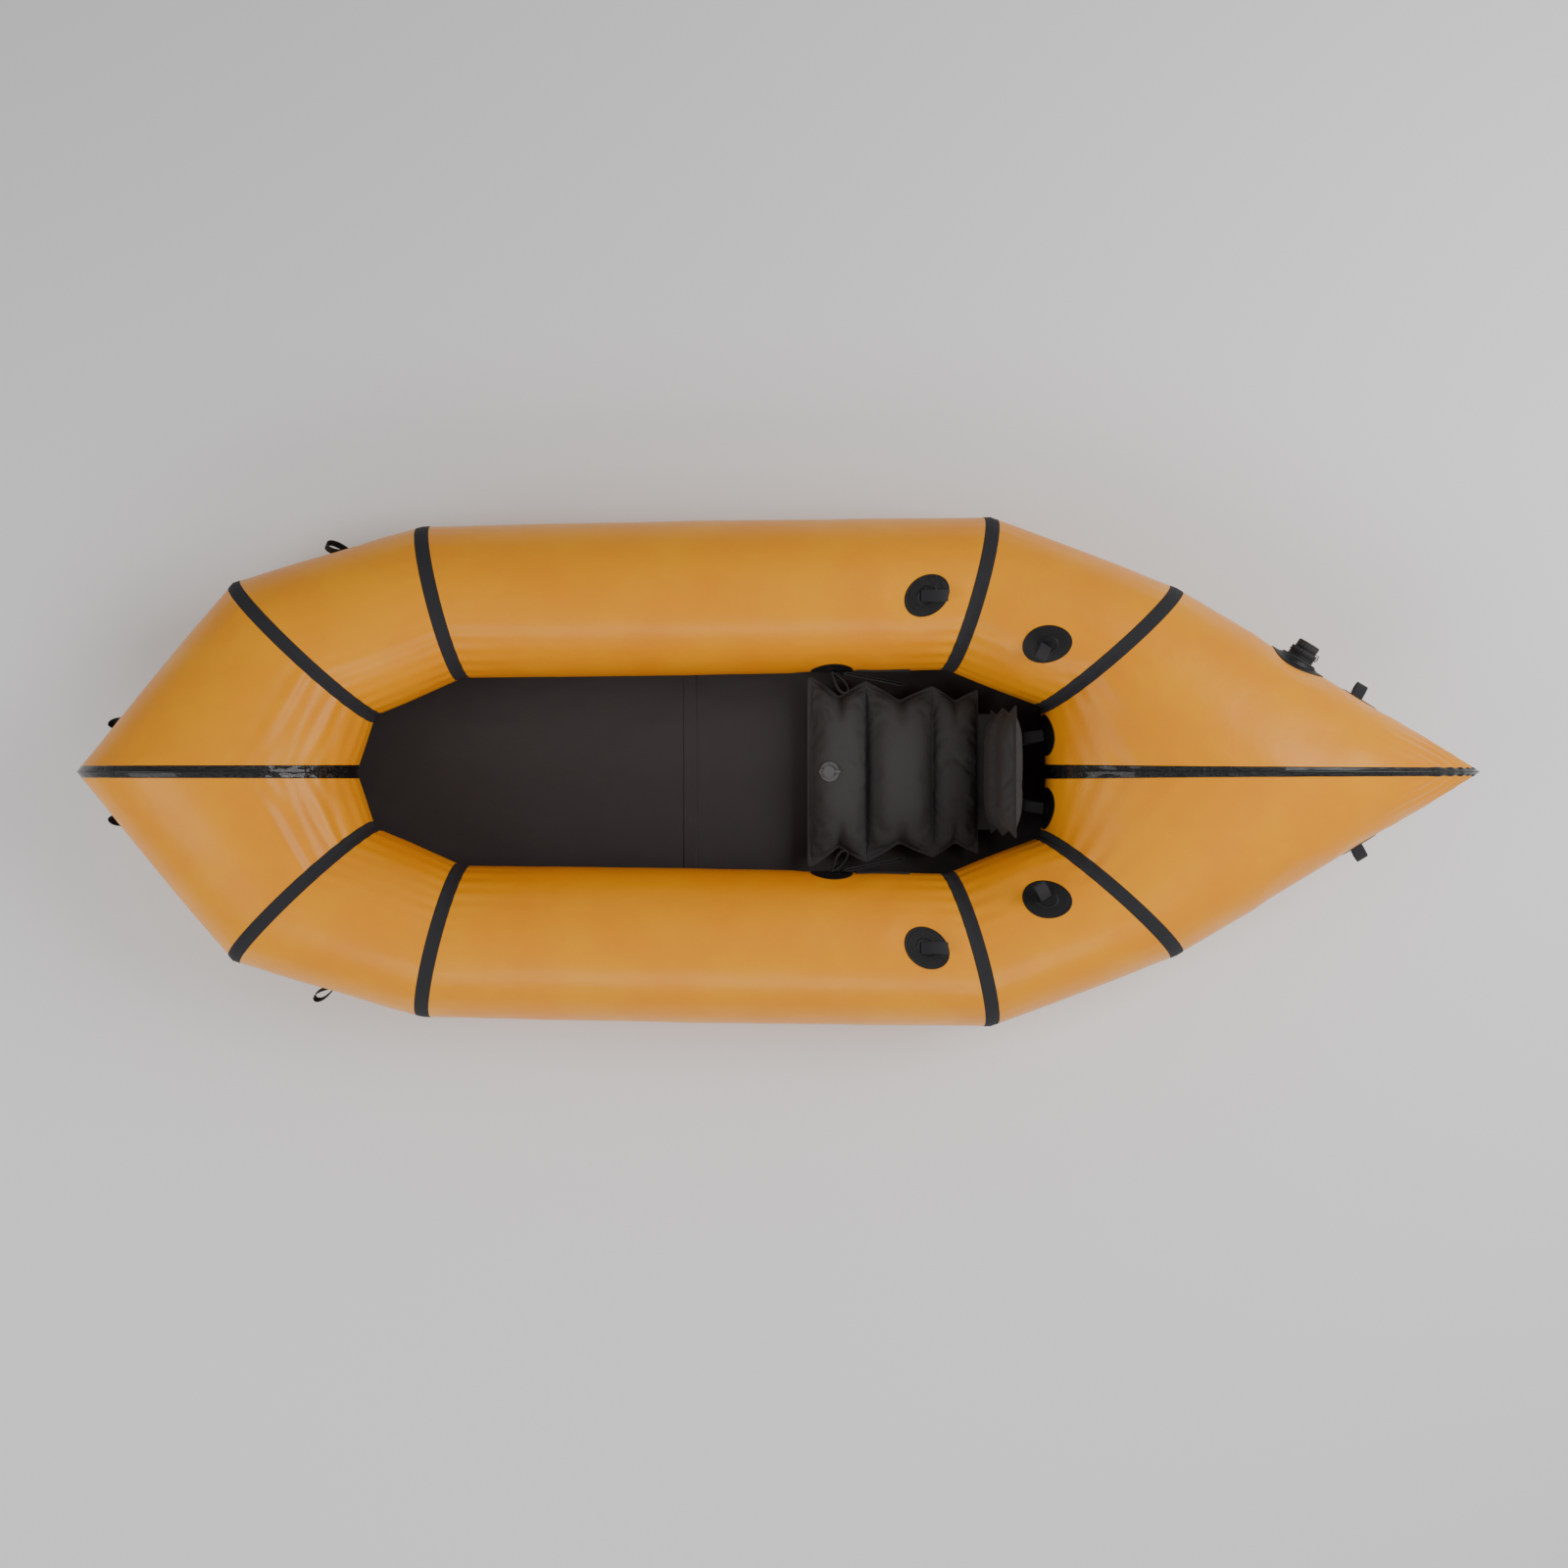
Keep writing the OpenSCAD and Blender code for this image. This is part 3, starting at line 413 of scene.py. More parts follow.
class SurfaceGroups:
    """The node groups that the finishes share, each built once."""

    def __init__(self) -> None:
        """Builds the groups."""
        self.weave = self._weave()
        self.creases = self._creases()
        self.wear = self._wear()

    @staticmethod
    def _weave() -> bpy.types.NodeTree:
        """A plain weave: two crossed sets of threads that take turns on top.

        The height is the larger of |sin u| where a checker is up and |sin v| where it is down.
        """
        inputs = {"Vector": ("NodeSocketVector", 0), "Pitch": ("NodeSocketFloat", 0.001),
                  "Slant": ("NodeSocketFloat", 1.0)}
        sheet, start, end = new_group("PlainWeave", inputs, ["Height"])
        axes = sheet.add("ShaderNodeSeparateXYZ")
        sheet.feed(axes.inputs[0], start["Vector"])
        u = sheet.sum("DIVIDE", axes.outputs[0], start["Pitch"])
        v = sheet.sum("DIVIDE", sheet.sum("MULTIPLY", axes.outputs[1], start["Slant"]), start["Pitch"])
        warp, weft = (sheet.sum("ABSOLUTE", sheet.sum("SINE", sheet.sum("MULTIPLY", x, math.pi)))
                      for x in (u, v))
        square = sheet.sum("ADD", sheet.sum("FLOOR", u), sheet.sum("FLOOR", v))
        checker = sheet.sum("MODULO", sheet.sum("ABSOLUTE", square), 2.0)
        over = sheet.sum("MULTIPLY", warp, sheet.sum("GREATER_THAN", checker, 0.5))
        under = sheet.sum("MULTIPLY", weft, sheet.sum("LESS_THAN", checker, 0.5))
        sheet.feed(end["Height"], sheet.sum("ADD", over, under))
        return sheet.tree

    @staticmethod
    def _creases() -> bpy.types.NodeTree:
        """Shallow fabric creases: soft dents plus sharp folds where two noises meet."""
        inputs = {"Vector": ("NodeSocketVector", 0), "Scale": ("NodeSocketFloat", 20.0),
                  "Sharp": ("NodeSocketFloat", 0.5)}
        sheet, start, end = new_group("FabricCreases", inputs, ["Height"])
        soft = sheet.noise(start["Vector"], start["Scale"], 2.0)
        fine = sheet.noise(start["Vector"], sheet.sum("MULTIPLY", start["Scale"], 3.1), 2.0)
        fold = sheet.sum("POWER", sheet.sum("SUBTRACT", 1.0, sheet.sum("ABSOLUTE", sheet.sum(
            "MULTIPLY", sheet.sum("SUBTRACT", fine, 0.5), 4.0)), clamp=True), 3.0)
        sheet.feed(end["Height"], sheet.sum("ADD", soft, sheet.sum("MULTIPLY", fold, start["Sharp"])))
        return sheet.tree

    @staticmethod
    def _wear() -> bpy.types.NodeTree:
        """Handling marks: a broad cloudy mask, and fine scuffs that are strongest inside it."""
        inputs = {"Vector": ("NodeSocketVector", 0), "Scale": ("NodeSocketFloat", 8.0)}
        sheet, start, end = new_group("HandlingWear", inputs, ["Cloud", "Scuffs"])
        cloud = sheet.noise(start["Vector"], start["Scale"], 4.0)
        streak = sheet.add("ShaderNodeMapping")
        sheet.feed(streak.inputs["Vector"], start["Vector"])
        streak.inputs["Scale"].default_value = (1.0, 9.0, 3.0)
        lines = sheet.noise(streak.outputs[0], sheet.sum("MULTIPLY", start["Scale"], 9.0), 5.0, 0.7)
        sheet.feed(end["Cloud"], cloud)
        sheet.feed(end["Scuffs"], sheet.sum("MULTIPLY", sheet.spread(lines, 0.55, 0.75, 0.0, 1.0),
                                            sheet.spread(cloud, 0.4, 0.7, 0.0, 1.0)))
        return sheet.tree


GROUPS = SurfaceGroups()


@dataclass(frozen=True)
class Finish:
    """A fabric, rubber or plastic finish over the shared groups.

    Attributes:
        name: The material's name.
        slot: Name of a material slot; not used.
        colour: Linear base colour.
        shade: Linear colour in the clouded places.
        rough: Roughness in clean places.
        rough_spread: How much rougher the clouded and scuffed places are.
        weave_pitch: Thread pitch in metres, or 0 for none.
        weave_depth: Depth of the weave in metres.
        crease_scale: Creases per metre, or 0 for none.
        crease_depth: Depth of the creases in metres.
        crease_sharp: How sharp the folds are.
        grain_depth: Depth of a fine moulded grain in metres.
        coat: Weight of the clear coating.
        coat_rough: Roughness of the coating.
        specular: Specular level.
        sheen: Weight of the cloth sheen.
        stitches: Whether a row of stitches runs along the middle of the piece's texture.
    """

    name: str
    slot: str
    colour: tuple[float, float, float]
    shade: tuple[float, float, float]
    rough: float
    rough_spread: float = 0.1
    weave_pitch: float = 0.0
    weave_depth: float = 0.0
    crease_scale: float = 0.0
    crease_depth: float = 0.0
    crease_sharp: float = 0.5
    grain_depth: float = 0.0
    coat: float = 0.0
    coat_rough: float = 0.1
    specular: float = 0.5
    sheen: float = 0.0
    stitches: bool = False

    def material(self) -> bpy.types.Material:
        """The finish's material, built the first time it is asked for."""
        made = bpy.data.materials.get(self.name)
        return made or self._build()

    def _build(self) -> bpy.types.Material:
        """Builds the material."""
        material = bpy.data.materials.new(self.name)
        material.use_nodes = True
        sheet = NodeSheet(material.node_tree)
        shader = sheet.tree.nodes["Principled BSDF"]
        place = sheet.add("ShaderNodeTexCoord")
        wear = sheet.add("ShaderNodeGroup", node_tree=GROUPS.wear)
        sheet.feed(wear.inputs["Vector"], place.outputs["Object"])
        cloud = sheet.spread(wear.outputs["Cloud"], 0.35, 0.65, 0.0, 1.0)
        colour = sheet.blend_colours(cloud, (*self.colour, 1), (*self.shade, 1))
        sheet.feed(shader.inputs["Base Color"], colour)
        marks = sheet.sum("ADD", cloud, wear.outputs["Scuffs"])
        rough = sheet.sum("MULTIPLY_ADD", marks, self.rough_spread * 0.6, self.rough)
        sheet.feed(shader.inputs["Roughness"], rough)
        self._relief(sheet, shader, place)
        shader.inputs["Specular IOR Level"].default_value = self.specular
        shader.inputs["Coat Weight"].default_value = self.coat
        shader.inputs["Coat Roughness"].default_value = self.coat_rough
        shader.inputs["Sheen Weight"].default_value = self.sheen
        return material

    def _relief(self, sheet: NodeSheet, shader: bpy.types.Node, place: bpy.types.Node) -> None:
        """Adds the weave, creases, grain and stitches as bumps, one over the other.

        Args:
            sheet: The material's nodes.
            shader: Its Principled shader.
            place: Its texture coordinates.
        """
        layers = []
        if self.weave_pitch:
            weave = sheet.add("ShaderNodeGroup", node_tree=GROUPS.weave)
            sheet.feed(weave.inputs["Vector"], place.outputs["UV"])
            sheet.feed(weave.inputs["Pitch"], self.weave_pitch)
            layers.append((weave.outputs[0], self.weave_depth))
        if self.crease_scale:
            creases = sheet.add("ShaderNodeGroup", node_tree=GROUPS.creases)
            sheet.feed(creases.inputs["Vector"], place.outputs["Object"])
            sheet.feed(creases.inputs["Scale"], self.crease_scale)
            sheet.feed(creases.inputs["Sharp"], self.crease_sharp)
            layers.append((creases.outputs[0], self.crease_depth))
        if self.grain_depth:
            layers.append((sheet.noise(place.outputs["Object"], 1400.0, 2.0), self.grain_depth))
        if self.stitches:
            layers.append((self._stitch_row(sheet, place), 0.0005))
        normal = None
        for height, depth in layers:
            bump = sheet.add("ShaderNodeBump")
            bump.inputs["Strength"].default_value = 1.0
            bump.inputs["Distance"].default_value = depth
            sheet.feed(bump.inputs["Height"], height)
            if normal is not None:
                sheet.feed(bump.inputs["Normal"], normal)
            normal = bump.outputs[0]
        if normal is not None:
            sheet.feed(shader.inputs["Normal"], normal)

    @staticmethod
    def _stitch_row(sheet: NodeSheet, place: bpy.types.Node) -> bpy.types.NodeSocket:
        """A zigzag row of stitches: a ridge along a triangle wave."""
        axes = sheet.add("ShaderNodeSeparateXYZ")
        sheet.feed(axes.inputs[0], place.outputs["UV"])
        zigzag = sheet.sum("PINGPONG", axes.outputs[1], 0.003)
        offset = sheet.sum("SUBTRACT", axes.outputs[0], sheet.sum("SUBTRACT", zigzag, 0.0015))
        return sheet.spread(sheet.sum("ABSOLUTE", offset), 0.0, 0.0009, 1.0, 0.0)


HULL_SKIN = Finish(
    "hull_coated_fabric", "hull_skin",
    colour=(0.94, 0.36, 0.0002), shade=(0.90, 0.31, 0.0002), rough=0.36, rough_spread=0.08,
    weave_pitch=0.0011, weave_depth=0.000012, crease_scale=9.0, crease_depth=0.0012,
    crease_sharp=0.12, coat=0.12, coat_rough=0.2, specular=0.3)
SEAM_TAPE = Finish(
    "seam_tape", "seam_tape",
    colour=(0.003, 0.003, 0.0035), shade=(0.005, 0.005, 0.0055), rough=0.18, rough_spread=0.2,
    crease_scale=60.0, crease_depth=0.0009, crease_sharp=0.9, coat=0.4, coat_rough=0.06,
    specular=0.35)
SEWN_TAPE = Finish(
    "sewn_seam_tape", "seam_tape",
    colour=(0.003, 0.003, 0.0035), shade=(0.005, 0.005, 0.0055), rough=0.16, rough_spread=0.2,
    crease_scale=60.0, crease_depth=0.0008, crease_sharp=0.9, coat=0.45, coat_rough=0.05,
    specular=0.35, stitches=True)
FLOOR_FABRIC = Finish(
    "floor_fabric", "floor_fabric",
    colour=(0.007, 0.0062, 0.0062), shade=(0.011, 0.0098, 0.0098), rough=0.40, rough_spread=0.15,
    weave_pitch=0.0013, weave_depth=0.00004, crease_scale=14.0, crease_depth=0.0022,
    crease_sharp=0.2, specular=0.35)
SEAT_FABRIC = Finish(
    "seat_fabric", "seat_fabric",
    colour=(0.007, 0.0065, 0.0065), shade=(0.011, 0.010, 0.010), rough=0.38, rough_spread=0.12,
    weave_pitch=0.0009, weave_depth=0.00004, crease_scale=30.0, crease_depth=0.0010,
    crease_sharp=0.25, sheen=0.03, specular=0.4)
PATCH_RUBBER = Finish(
    "patch_rubber", "patch_fabric",
    colour=(0.004, 0.0041, 0.0046), shade=(0.007, 0.007, 0.008), rough=0.44, rough_spread=0.16,
    crease_scale=45.0, crease_depth=0.0003, grain_depth=0.00005, specular=0.35)
WEBBING = Finish(
    "webbing", "webbing",
    colour=(0.006, 0.006, 0.0065), shade=(0.010, 0.010, 0.0105), rough=0.66, rough_spread=0.12,
    weave_pitch=0.0016, weave_depth=0.00025, sheen=0.06, specular=0.3)
VALVE_PLASTIC = Finish(
    "valve_plastic", "valve_plastic",
    colour=(0.005, 0.005, 0.0055), shade=(0.008, 0.008, 0.009), rough=0.36, rough_spread=0.14,
    grain_depth=0.00006, specular=0.4)
VALVE_RUBBER = Finish(
    "valve_rubber", "valve_rubber",
    colour=(0.006, 0.006, 0.0065), shade=(0.010, 0.010, 0.0105), rough=0.5, rough_spread=0.12,
    grain_depth=0.00005, specular=0.35)
SEAT_VALVE_PLASTIC = Finish(
    "seat_valve_plastic", "seat_valve_plastic",
    colour=(0.008, 0.008, 0.0085), shade=(0.012, 0.012, 0.0125), rough=0.30, rough_spread=0.1,
    grain_depth=0.00003)


# ---------------------------------------------------------------- hull
@dataclass(frozen=True)
class Station:
    """A seam's closed curve in its vertical plane; f is 0 at the outer end and rises over the top."""

    inner: tuple[float, float]
    outer: tuple[float, float]
    z_inner: float
    z_outer: float
    half: float
    late: float = 1.0
    thin: float = 0.0

    def point(self, f: Array) -> Array:
        """Points at angles f: the span by (1 + cos f) / 2, the height by sin f, thinned outwards."""
        u = (1 + np.cos(f)) / 2
        lift = self.z_inner + (self.z_outer - self.z_inner) * u**self.late
        return np.stack([self.inner[0] + (self.outer[0] - self.inner[0]) * u,
                         self.inner[1] + (self.outer[1] - self.inner[1]) * u,
                         lift + self.half * np.sin(f) * (1 - self.thin * u * u)], -1)


@dataclass(frozen=True)
class Spot:
    """A place for a fitting: its panel, its share of the panel's length and its angle.

    A loop there also has its slot's turn, its rest angle and its shift from the patch's middle in
    millimetres.
    """

    panel: Panel
    s: float
    f: float
    turn: float = 0.0
    rest: float = 0.0
    shift: float = 0.0


SPOTS = {
    ("deck", Side.PORT): Spot(Panel.SIDE, 0.905, 97, 90, 20, -9),
    ("deck", Side.STARBOARD): Spot(Panel.SIDE, 0.905, 97, 90, 20, -9),
    ("shoulder", Side.PORT): Spot(Panel.AFT_SHOULDER, 0.58, 113, 11, 112),
    ("shoulder", Side.STARBOARD): Spot(Panel.AFT_SHOULDER, 0.58, 113, 11, 112),
    ("bow", Side.PORT): Spot(Panel.BOW, 0.27, 345, 90, 138),
    ("bow", Side.STARBOARD): Spot(Panel.BOW, 0.27, 345, 90, 138),
    ("fore", Side.PORT): Spot(Panel.FORE_SHOULDER, 0.5, 348, 90, 131),
    ("fore", Side.STARBOARD): Spot(Panel.FORE_SHOULDER, 0.58, 348, 66, 152),
    ("stern", Side.PORT): Spot(Panel.STERN, 0.615, 356, 0, 50),
    ("stern", Side.STARBOARD): Spot(Panel.STERN, 0.615, 356, 0, 50),
    ("seat", Side.PORT): Spot(Panel.SIDE, 0.76, 174, 90, 56),
    ("seat", Side.STARBOARD): Spot(Panel.SIDE, 0.76, 174, 90, 56),
    ("backrest", Side.PORT): Spot(Panel.STERN, 0.44, 178, 0, 140),
    ("backrest", Side.STARBOARD): Spot(Panel.STERN, 0.44, 178, 0, 140),
}
VALVE_SPOT = Spot(Panel.STERN, 0.41, 10)


@dataclass
class HullForm:
    """The hull's outside as a function of panel, share of length s and angle f, for the port side.

    Each panel is the straight blend of the seam curves at its two ends. The coated fabric adds a slight
    fullness between its seams, soft folds and puckers, which all fade out at seams and fittings.
    """

    length: float = 2380 * MM
    beam: float = 904 * MM
    fore_beam: float = 871 * MM
    tube: float = 268 * MM
    base: float = 1.95 * MM
    bow_seam: float = 456 * MM
    stern_seam: float = 705 * MM
    bow_tip_z: float = 238 * MM
    stern_tip_z: float = 282 * MM
    fullness: float = 2.5 * MM
    stations: list[Station] = field(init=False)

    def __post_init__(self) -> None:
        """Works the six seam curves out from the driving sizes."""
        bow_x, stern_x = self.length / 2, -self.length / 2
        fore = np.array([bow_x - 574 * MM, self.fore_beam / 2])
        aft = np.array([stern_x + 801 * MM, self.beam / 2])
        side_angle = math.degrees(math.atan2(fore[1] - aft[1], fore[0] - aft[0]))

        def slanted(outer, length: float, slant: float, z: float, rise: float, half: float) -> Station:
            """A seam of the given length and slant inboard of its outer corner."""
            a = math.radians(slant)
            return Station((outer[0] - length * math.cos(a), outer[1] - length * math.sin(a)), tuple(outer),
                           z, z + rise, half)

        def mitre(slant: float) -> float:
            """Length of a straight tube's mitre."""
            return self.tube / math.sin(math.radians(slant - side_angle))

        knuckle = 10 * MM
        tube_z = self.base + self.tube / 2
        self.stations = [
            Station((bow_x - self.bow_seam, 0), (bow_x, 0), self.base + 169 * MM, self.bow_tip_z,
                    169 * MM, 1.6, 0.12),
            slanted((bow_x - 246 * MM, 332.5 * MM), 334 * MM, 44.2, self.base + knuckle + 143 * MM,
                    knuckle, 143 * MM),
            slanted(fore, mitre(76.1), 76.1, tube_z, 0, self.tube / 2),
            slanted(aft, mitre(105.2), 105.2, tube_z, 0, self.tube / 2),
            slanted((stern_x + 482 * MM, 323 * MM), 308 * MM, 137.6, self.base + knuckle + 145 * MM,
                    knuckle, 145 * MM),
            Station((stern_x + self.stern_seam, 0), (stern_x, 0), self.base + 174 * MM, self.stern_tip_z,
                    174 * MM, 1.4, 0.42)]

    def point(self, panel: int, s: Array, f: Array) -> Array:
        """Plain points of a panel: the blend of its two seam curves."""
        s = np.asarray(s)[..., None]
        return (1 - s) * self.stations[panel].point(f) + s * self.stations[panel + 1].point(f)

    def along(self, panel: int, f: Array) -> Array:
        """From a panel's forward seam to its after seam."""
        return self.stations[panel + 1].point(f) - self.stations[panel].point(f)

    def normal(self, panel: int, s: Array, f: Array) -> Array:
        """Outward direction: across the panel's length and its way round."""
        step = math.radians(0.5)
        around = self.point(panel, s, f + step) - self.point(panel, s, f - step)
        return unit(np.cross(np.broadcast_to(self.along(panel, f), around.shape), around))

    def crease(self, seam: int, f: Array) -> Array:
        """Shared outward direction at a seam, halfway between the panels beside it."""
        flip = np.array([1.0, -1.0, 1.0])
        ahead = self.normal(0, 0.0, f) * flip if seam == 0 else self.normal(seam - 1, 1.0, f)
        behind = self.normal(4, 1.0, f) * flip if seam == 5 else self.normal(seam, 0.0, f)
        return unit(ahead + behind)

    def relief(self, panel: int, s: Array, f: Array) -> Array:
        """Height of the real fabric over the plain panel.

        Fullness is a half sine between the seams. Folds run lengthwise where the inner side is squeezed,
        and puckers fan out from the seams and the stern's tip. All of it fades to nothing at the seams and
        under the patches.
        """
        s, f = np.broadcast_arrays(s, f)
        f = np.where(f > 0.75 * TURN, f - TURN, f)
        length = np.linalg.norm(self.along(panel, f), axis=-1)
        to_seam = np.minimum(s, 1 - s) * length
        girth = f * 0.145
        x = s * length
        height = self.fullness * np.sin(np.pi * s) * np.minimum(1, length / 0.35)
        height += 0.5 * MM * ripples(x, girth, 11 + panel, 0.22)
        top_in = plateau((80, 120), (200, 250), f)
        near = np.exp(-to_seam / 0.055)
        height += 0.9 * MM * near * top_in * np.sin(girth * TURN / 0.026 + 2.2 * np.sin(girth * 19 + panel))
        height += 0.35 * MM * near * np.sin(girth * TURN / 0.034 + 3 * np.sin(girth * 11 + 2 * panel))
        if panel == Panel.BOW:
            folds = plateau((92, 112), (150, 175), f)
            height += 1.5 * MM * folds * smooth(0.1, 0.5, s) * np.sin(girth * TURN / 0.034 + 1.5 * s)
        if panel == Panel.STERN:
            ridge = smooth(0.5, 0.85, s) * np.maximum(0, np.cos(f))
            height += 1.4 * MM * ridge * ripples(x, girth * 1.2, 31, 0.16, 2)
            tip = smooth(0.72, 0.95, s) * smooth(0.55, 0.95, np.cos(f))
            height += 1.8 * MM * tip * np.sin(girth * TURN / 0.021 + 2 * np.sin(x * 40))
        height *= plateau((-48, -25), (215, 240), f) * smooth(1 * MM, 16 * MM, to_seam)
        for spot, reach in self._fittings(panel):
            place = self.point(panel, np.array(spot.s), np.array(math.radians(spot.f)))
            height *= smooth(reach, reach + 0.035, np.linalg.norm(self.point(panel, s, f) - place, axis=-1))
        return height

    @staticmethod
    def _fittings(panel: int) -> list[tuple[Spot, float]]:
        """The fittings on a panel and how far the fabric lies flat round each."""
        found = [(spot, 0.041) for spot in SPOTS.values() if spot.panel == panel]
        return found + ([(VALVE_SPOT, 0.055)] if panel == VALVE_SPOT.panel else [])

    def skin(self, panel: int, s: Array, f: Array, height: float | Array = 0.0) -> Array:
        """Points on the real fabric, raised by a height, with the normals eased into each seam's own."""
        s, f = np.broadcast_arrays(np.asarray(s, float), np.asarray(f, float))
        n = self.normal(panel, s, f)
        length = np.linalg.norm(self.along(panel, f), axis=-1)
        for seam, reach in ((panel, s * length), (panel + 1, (1 - s) * length)):
            share = (1 - smooth(0, 7 * MM, reach))[..., None]
            n = unit(n * (1 - share) + self.crease(seam, f) * share)
        return self.point(panel, s, f) + (self.relief(panel, s, f) + height)[..., None] * n

    def local(self, spot: Spot, x: Array, y: Array, height: Array) -> Array:
        """Points near a spot: x along the tube, y around it, raised by a height."""
        f = math.radians(spot.f)
        step = math.radians(0.5)
        s = np.array(spot.s)
        run = np.linalg.norm(self.along(spot.panel, np.array(f)))
        after, before = (self.point(spot.panel, s, np.array(f + turn)) for turn in (step, -step))
        degree = np.linalg.norm(after - before)
        s_all, f_all = spot.s + x / run, f + np.radians(y / degree)
        lift = np.asarray(height)[..., None] * self.normal(spot.panel, s_all, f_all)
        return self.point(spot.panel, s_all, f_all) + lift

    def spot_axes(self, spot: Spot, height: float) -> tuple[Array, Array, Array, Array]:
        """A loop's hinge place, outward direction, hinge axis and the way it leans at 0 degrees."""
        f = np.array(math.radians(spot.f))
        place = self.local(spot, np.array(spot.shift * MM), np.array(0.0), np.array(height))
        n = self.normal(spot.panel, np.array(spot.s), f)
        t0 = unit(self.along(spot.panel, f))
        a = math.radians(spot.turn)
        axis = t0 * math.cos(a) + np.cross(n, t0) * math.sin(a)
        return place, n, axis, np.cross(axis, n)


FORM = HullForm()


@dataclass
class TubePanels:
    """The ten welded fabric panels, each a closed wall of the fabric's thickness."""

    fabric: float = 0.6 * MM
    columns: int = 200
    rows: tuple[int, ...] = (84, 40, 84, 40, 104)

    def build(self) -> None:
        """Builds every panel on both sides."""
        for side in Side:
            for panel in Panel:
                node = f"{panel.name.lower()}_panel_{side.label}"
                dress(make_piece(f"{node}_skin", self._panel(panel, side)), HULL_SKIN, HULL, node)

    def _panel(self, panel: Panel, side: Side) -> Shell:
        """One panel: out along its outside and back along its inside.

        Args:
            panel: Which panel.
            side: Which side of the boat.

        Returns:
            The closed wall.
        """
        n = self.rows[panel]
        t = np.linspace(0, 1, n)
        s = (t + 0.08 * np.sin(TURN * t) * -1)[:, None]
        s[0], s[-1] = 0, 1
        f = (np.arange(self.columns) * TURN / self.columns)[None, :]
        outside = FORM.skin(panel, s, f)
        inside = FORM.skin(panel, s, f, -self.fabric)[::-1]
        rings = on_side(np.concatenate([outside, inside]), side)
        lengths = np.linalg.norm(FORM.along(panel, np.radians([0.0, 180.0])), axis=-1).mean()
        u = np.concatenate([s[:, 0], s[::-1, 0], s[:1, 0]]) * lengths
        v = np.arange(self.columns + 1) * TURN / self.columns * 0.145
        return tube_shell(rings, np.stack(np.broadcast_arrays(u[:, None], v[None, :]), -1), wrap=True)


@dataclass
class SeamTapes:
    """Glossy tape bands folded over the crease of each seam; the two centre seams have a sewn ridge below."""

    width: float = 25 * MM
    thick: float = 0.5 * MM
    gap: float = 0.15 * MM
    ridge: float = 0.7 * MM
    columns: int = 420

    def build(self) -> None:
        """Builds all ten tapes."""
        names = ["bow_centre", "bow", "fore", "aft", "stern", "stern_centre"]
        for seam, name in enumerate(names):
            centre = seam in (0, 5)
            for side in (Side.PORT,) if centre else Side:
                node = f"{name}_tape" if centre else f"{name}_tape_{side.label}"
                finish = SEWN_TAPE if centre else SEAM_TAPE
                dress(make_piece(f"{node}_band", self._tape(seam, side, centre)), finish, HULL, node)

    def _tape(self, seam: int, side: Side, sewn: bool) -> Shell:
        """One band: its section runs across the seam, and the section is carried round the tube.

        The outer wall is a shallow arch that thins to its edges, with fine crinkles and, over a sewn seam,
        a ridge exp(-(d / 2.2 mm)^2) along the middle.

        Args:
            seam: Number of the seam from the bow.
            side: Which side of the boat.
            sewn: Whether there is a ridge.

        Returns:
            The band as a closed ring.
        """
        half = self.width / 2
        d = np.concatenate([np.linspace(-half, half, 17), np.linspace(half, -half, 9)])
        top = np.concatenate([np.ones(17), np.zeros(9)])
        f = (np.arange(self.columns) * TURN / self.columns)[:, None]
        edge = np.clip((half - np.abs(d)) / (1.2 * MM), 0, 1) ** 0.5
        girth = f * 0.15
        crinkle = 0.16 * MM * ripples(girth, d[None, :] * 1.5, 50 + seam, 0.045, 3) \
            + 0.10 * MM * ripples(girth * 1.7, d[None, :], 70 + seam, 0.013, 2)
        rise = self.thick * (0.35 + 0.65 * edge)[None, :] + np.maximum(crinkle, -0.3 * MM) * edge
        if sewn:
            bead = np.exp(-(d / (2.2 * MM)) ** 2)[None, :]
            rise = rise + self.ridge * bead * (0.8 + 0.2 * np.sin(girth * TURN / (7 * MM)))
        height = self.gap + np.maximum(rise, 0.1 * MM) * top[None, :]
        points = self._beside(seam, d[None, :], f, height)
        u = np.append(d, d[0])
        v = np.arange(self.columns + 1) * TURN / self.columns * 0.15
        uv = np.stack(np.broadcast_arrays(u[None, :], v[:, None]), -1)
        return tube_shell(on_side(points, side), uv, wrap=True)

    @staticmethod
    def _beside(seam: int, d: Array, f: Array, height: Array) -> Array:
        """Points at a distance d behind a seam, or ahead of it where d is negative."""
        d, f, height = np.broadcast_arrays(d, f, height)
        flip = np.array([1.0, -1.0, 1.0])
        ahead_panel, behind_panel = max(seam - 1, 0), min(seam, 4)
        if seam == 0:
            length = np.linalg.norm(FORM.along(0, f), axis=-1)
            ahead = FORM.skin(0, -np.minimum(d, 0) / length, f, height) * flip
        else:
            length = np.linalg.norm(FORM.along(ahead_panel, f), axis=-1)
            ahead = FORM.skin(ahead_panel, 1 + np.minimum(d, 0) / length, f, height)
        if seam == 5:
            length = np.linalg.norm(FORM.along(4, f), axis=-1)
            behind = FORM.skin(4, 1 - np.maximum(d, 0) / length, f, height) * flip
        else:
            length = np.linalg.norm(FORM.along(behind_panel, f), axis=-1)
            behind = FORM.skin(behind_panel, np.maximum(d, 0) / length, f, height)
        return np.where((d < 0)[..., None], ahead, behind)


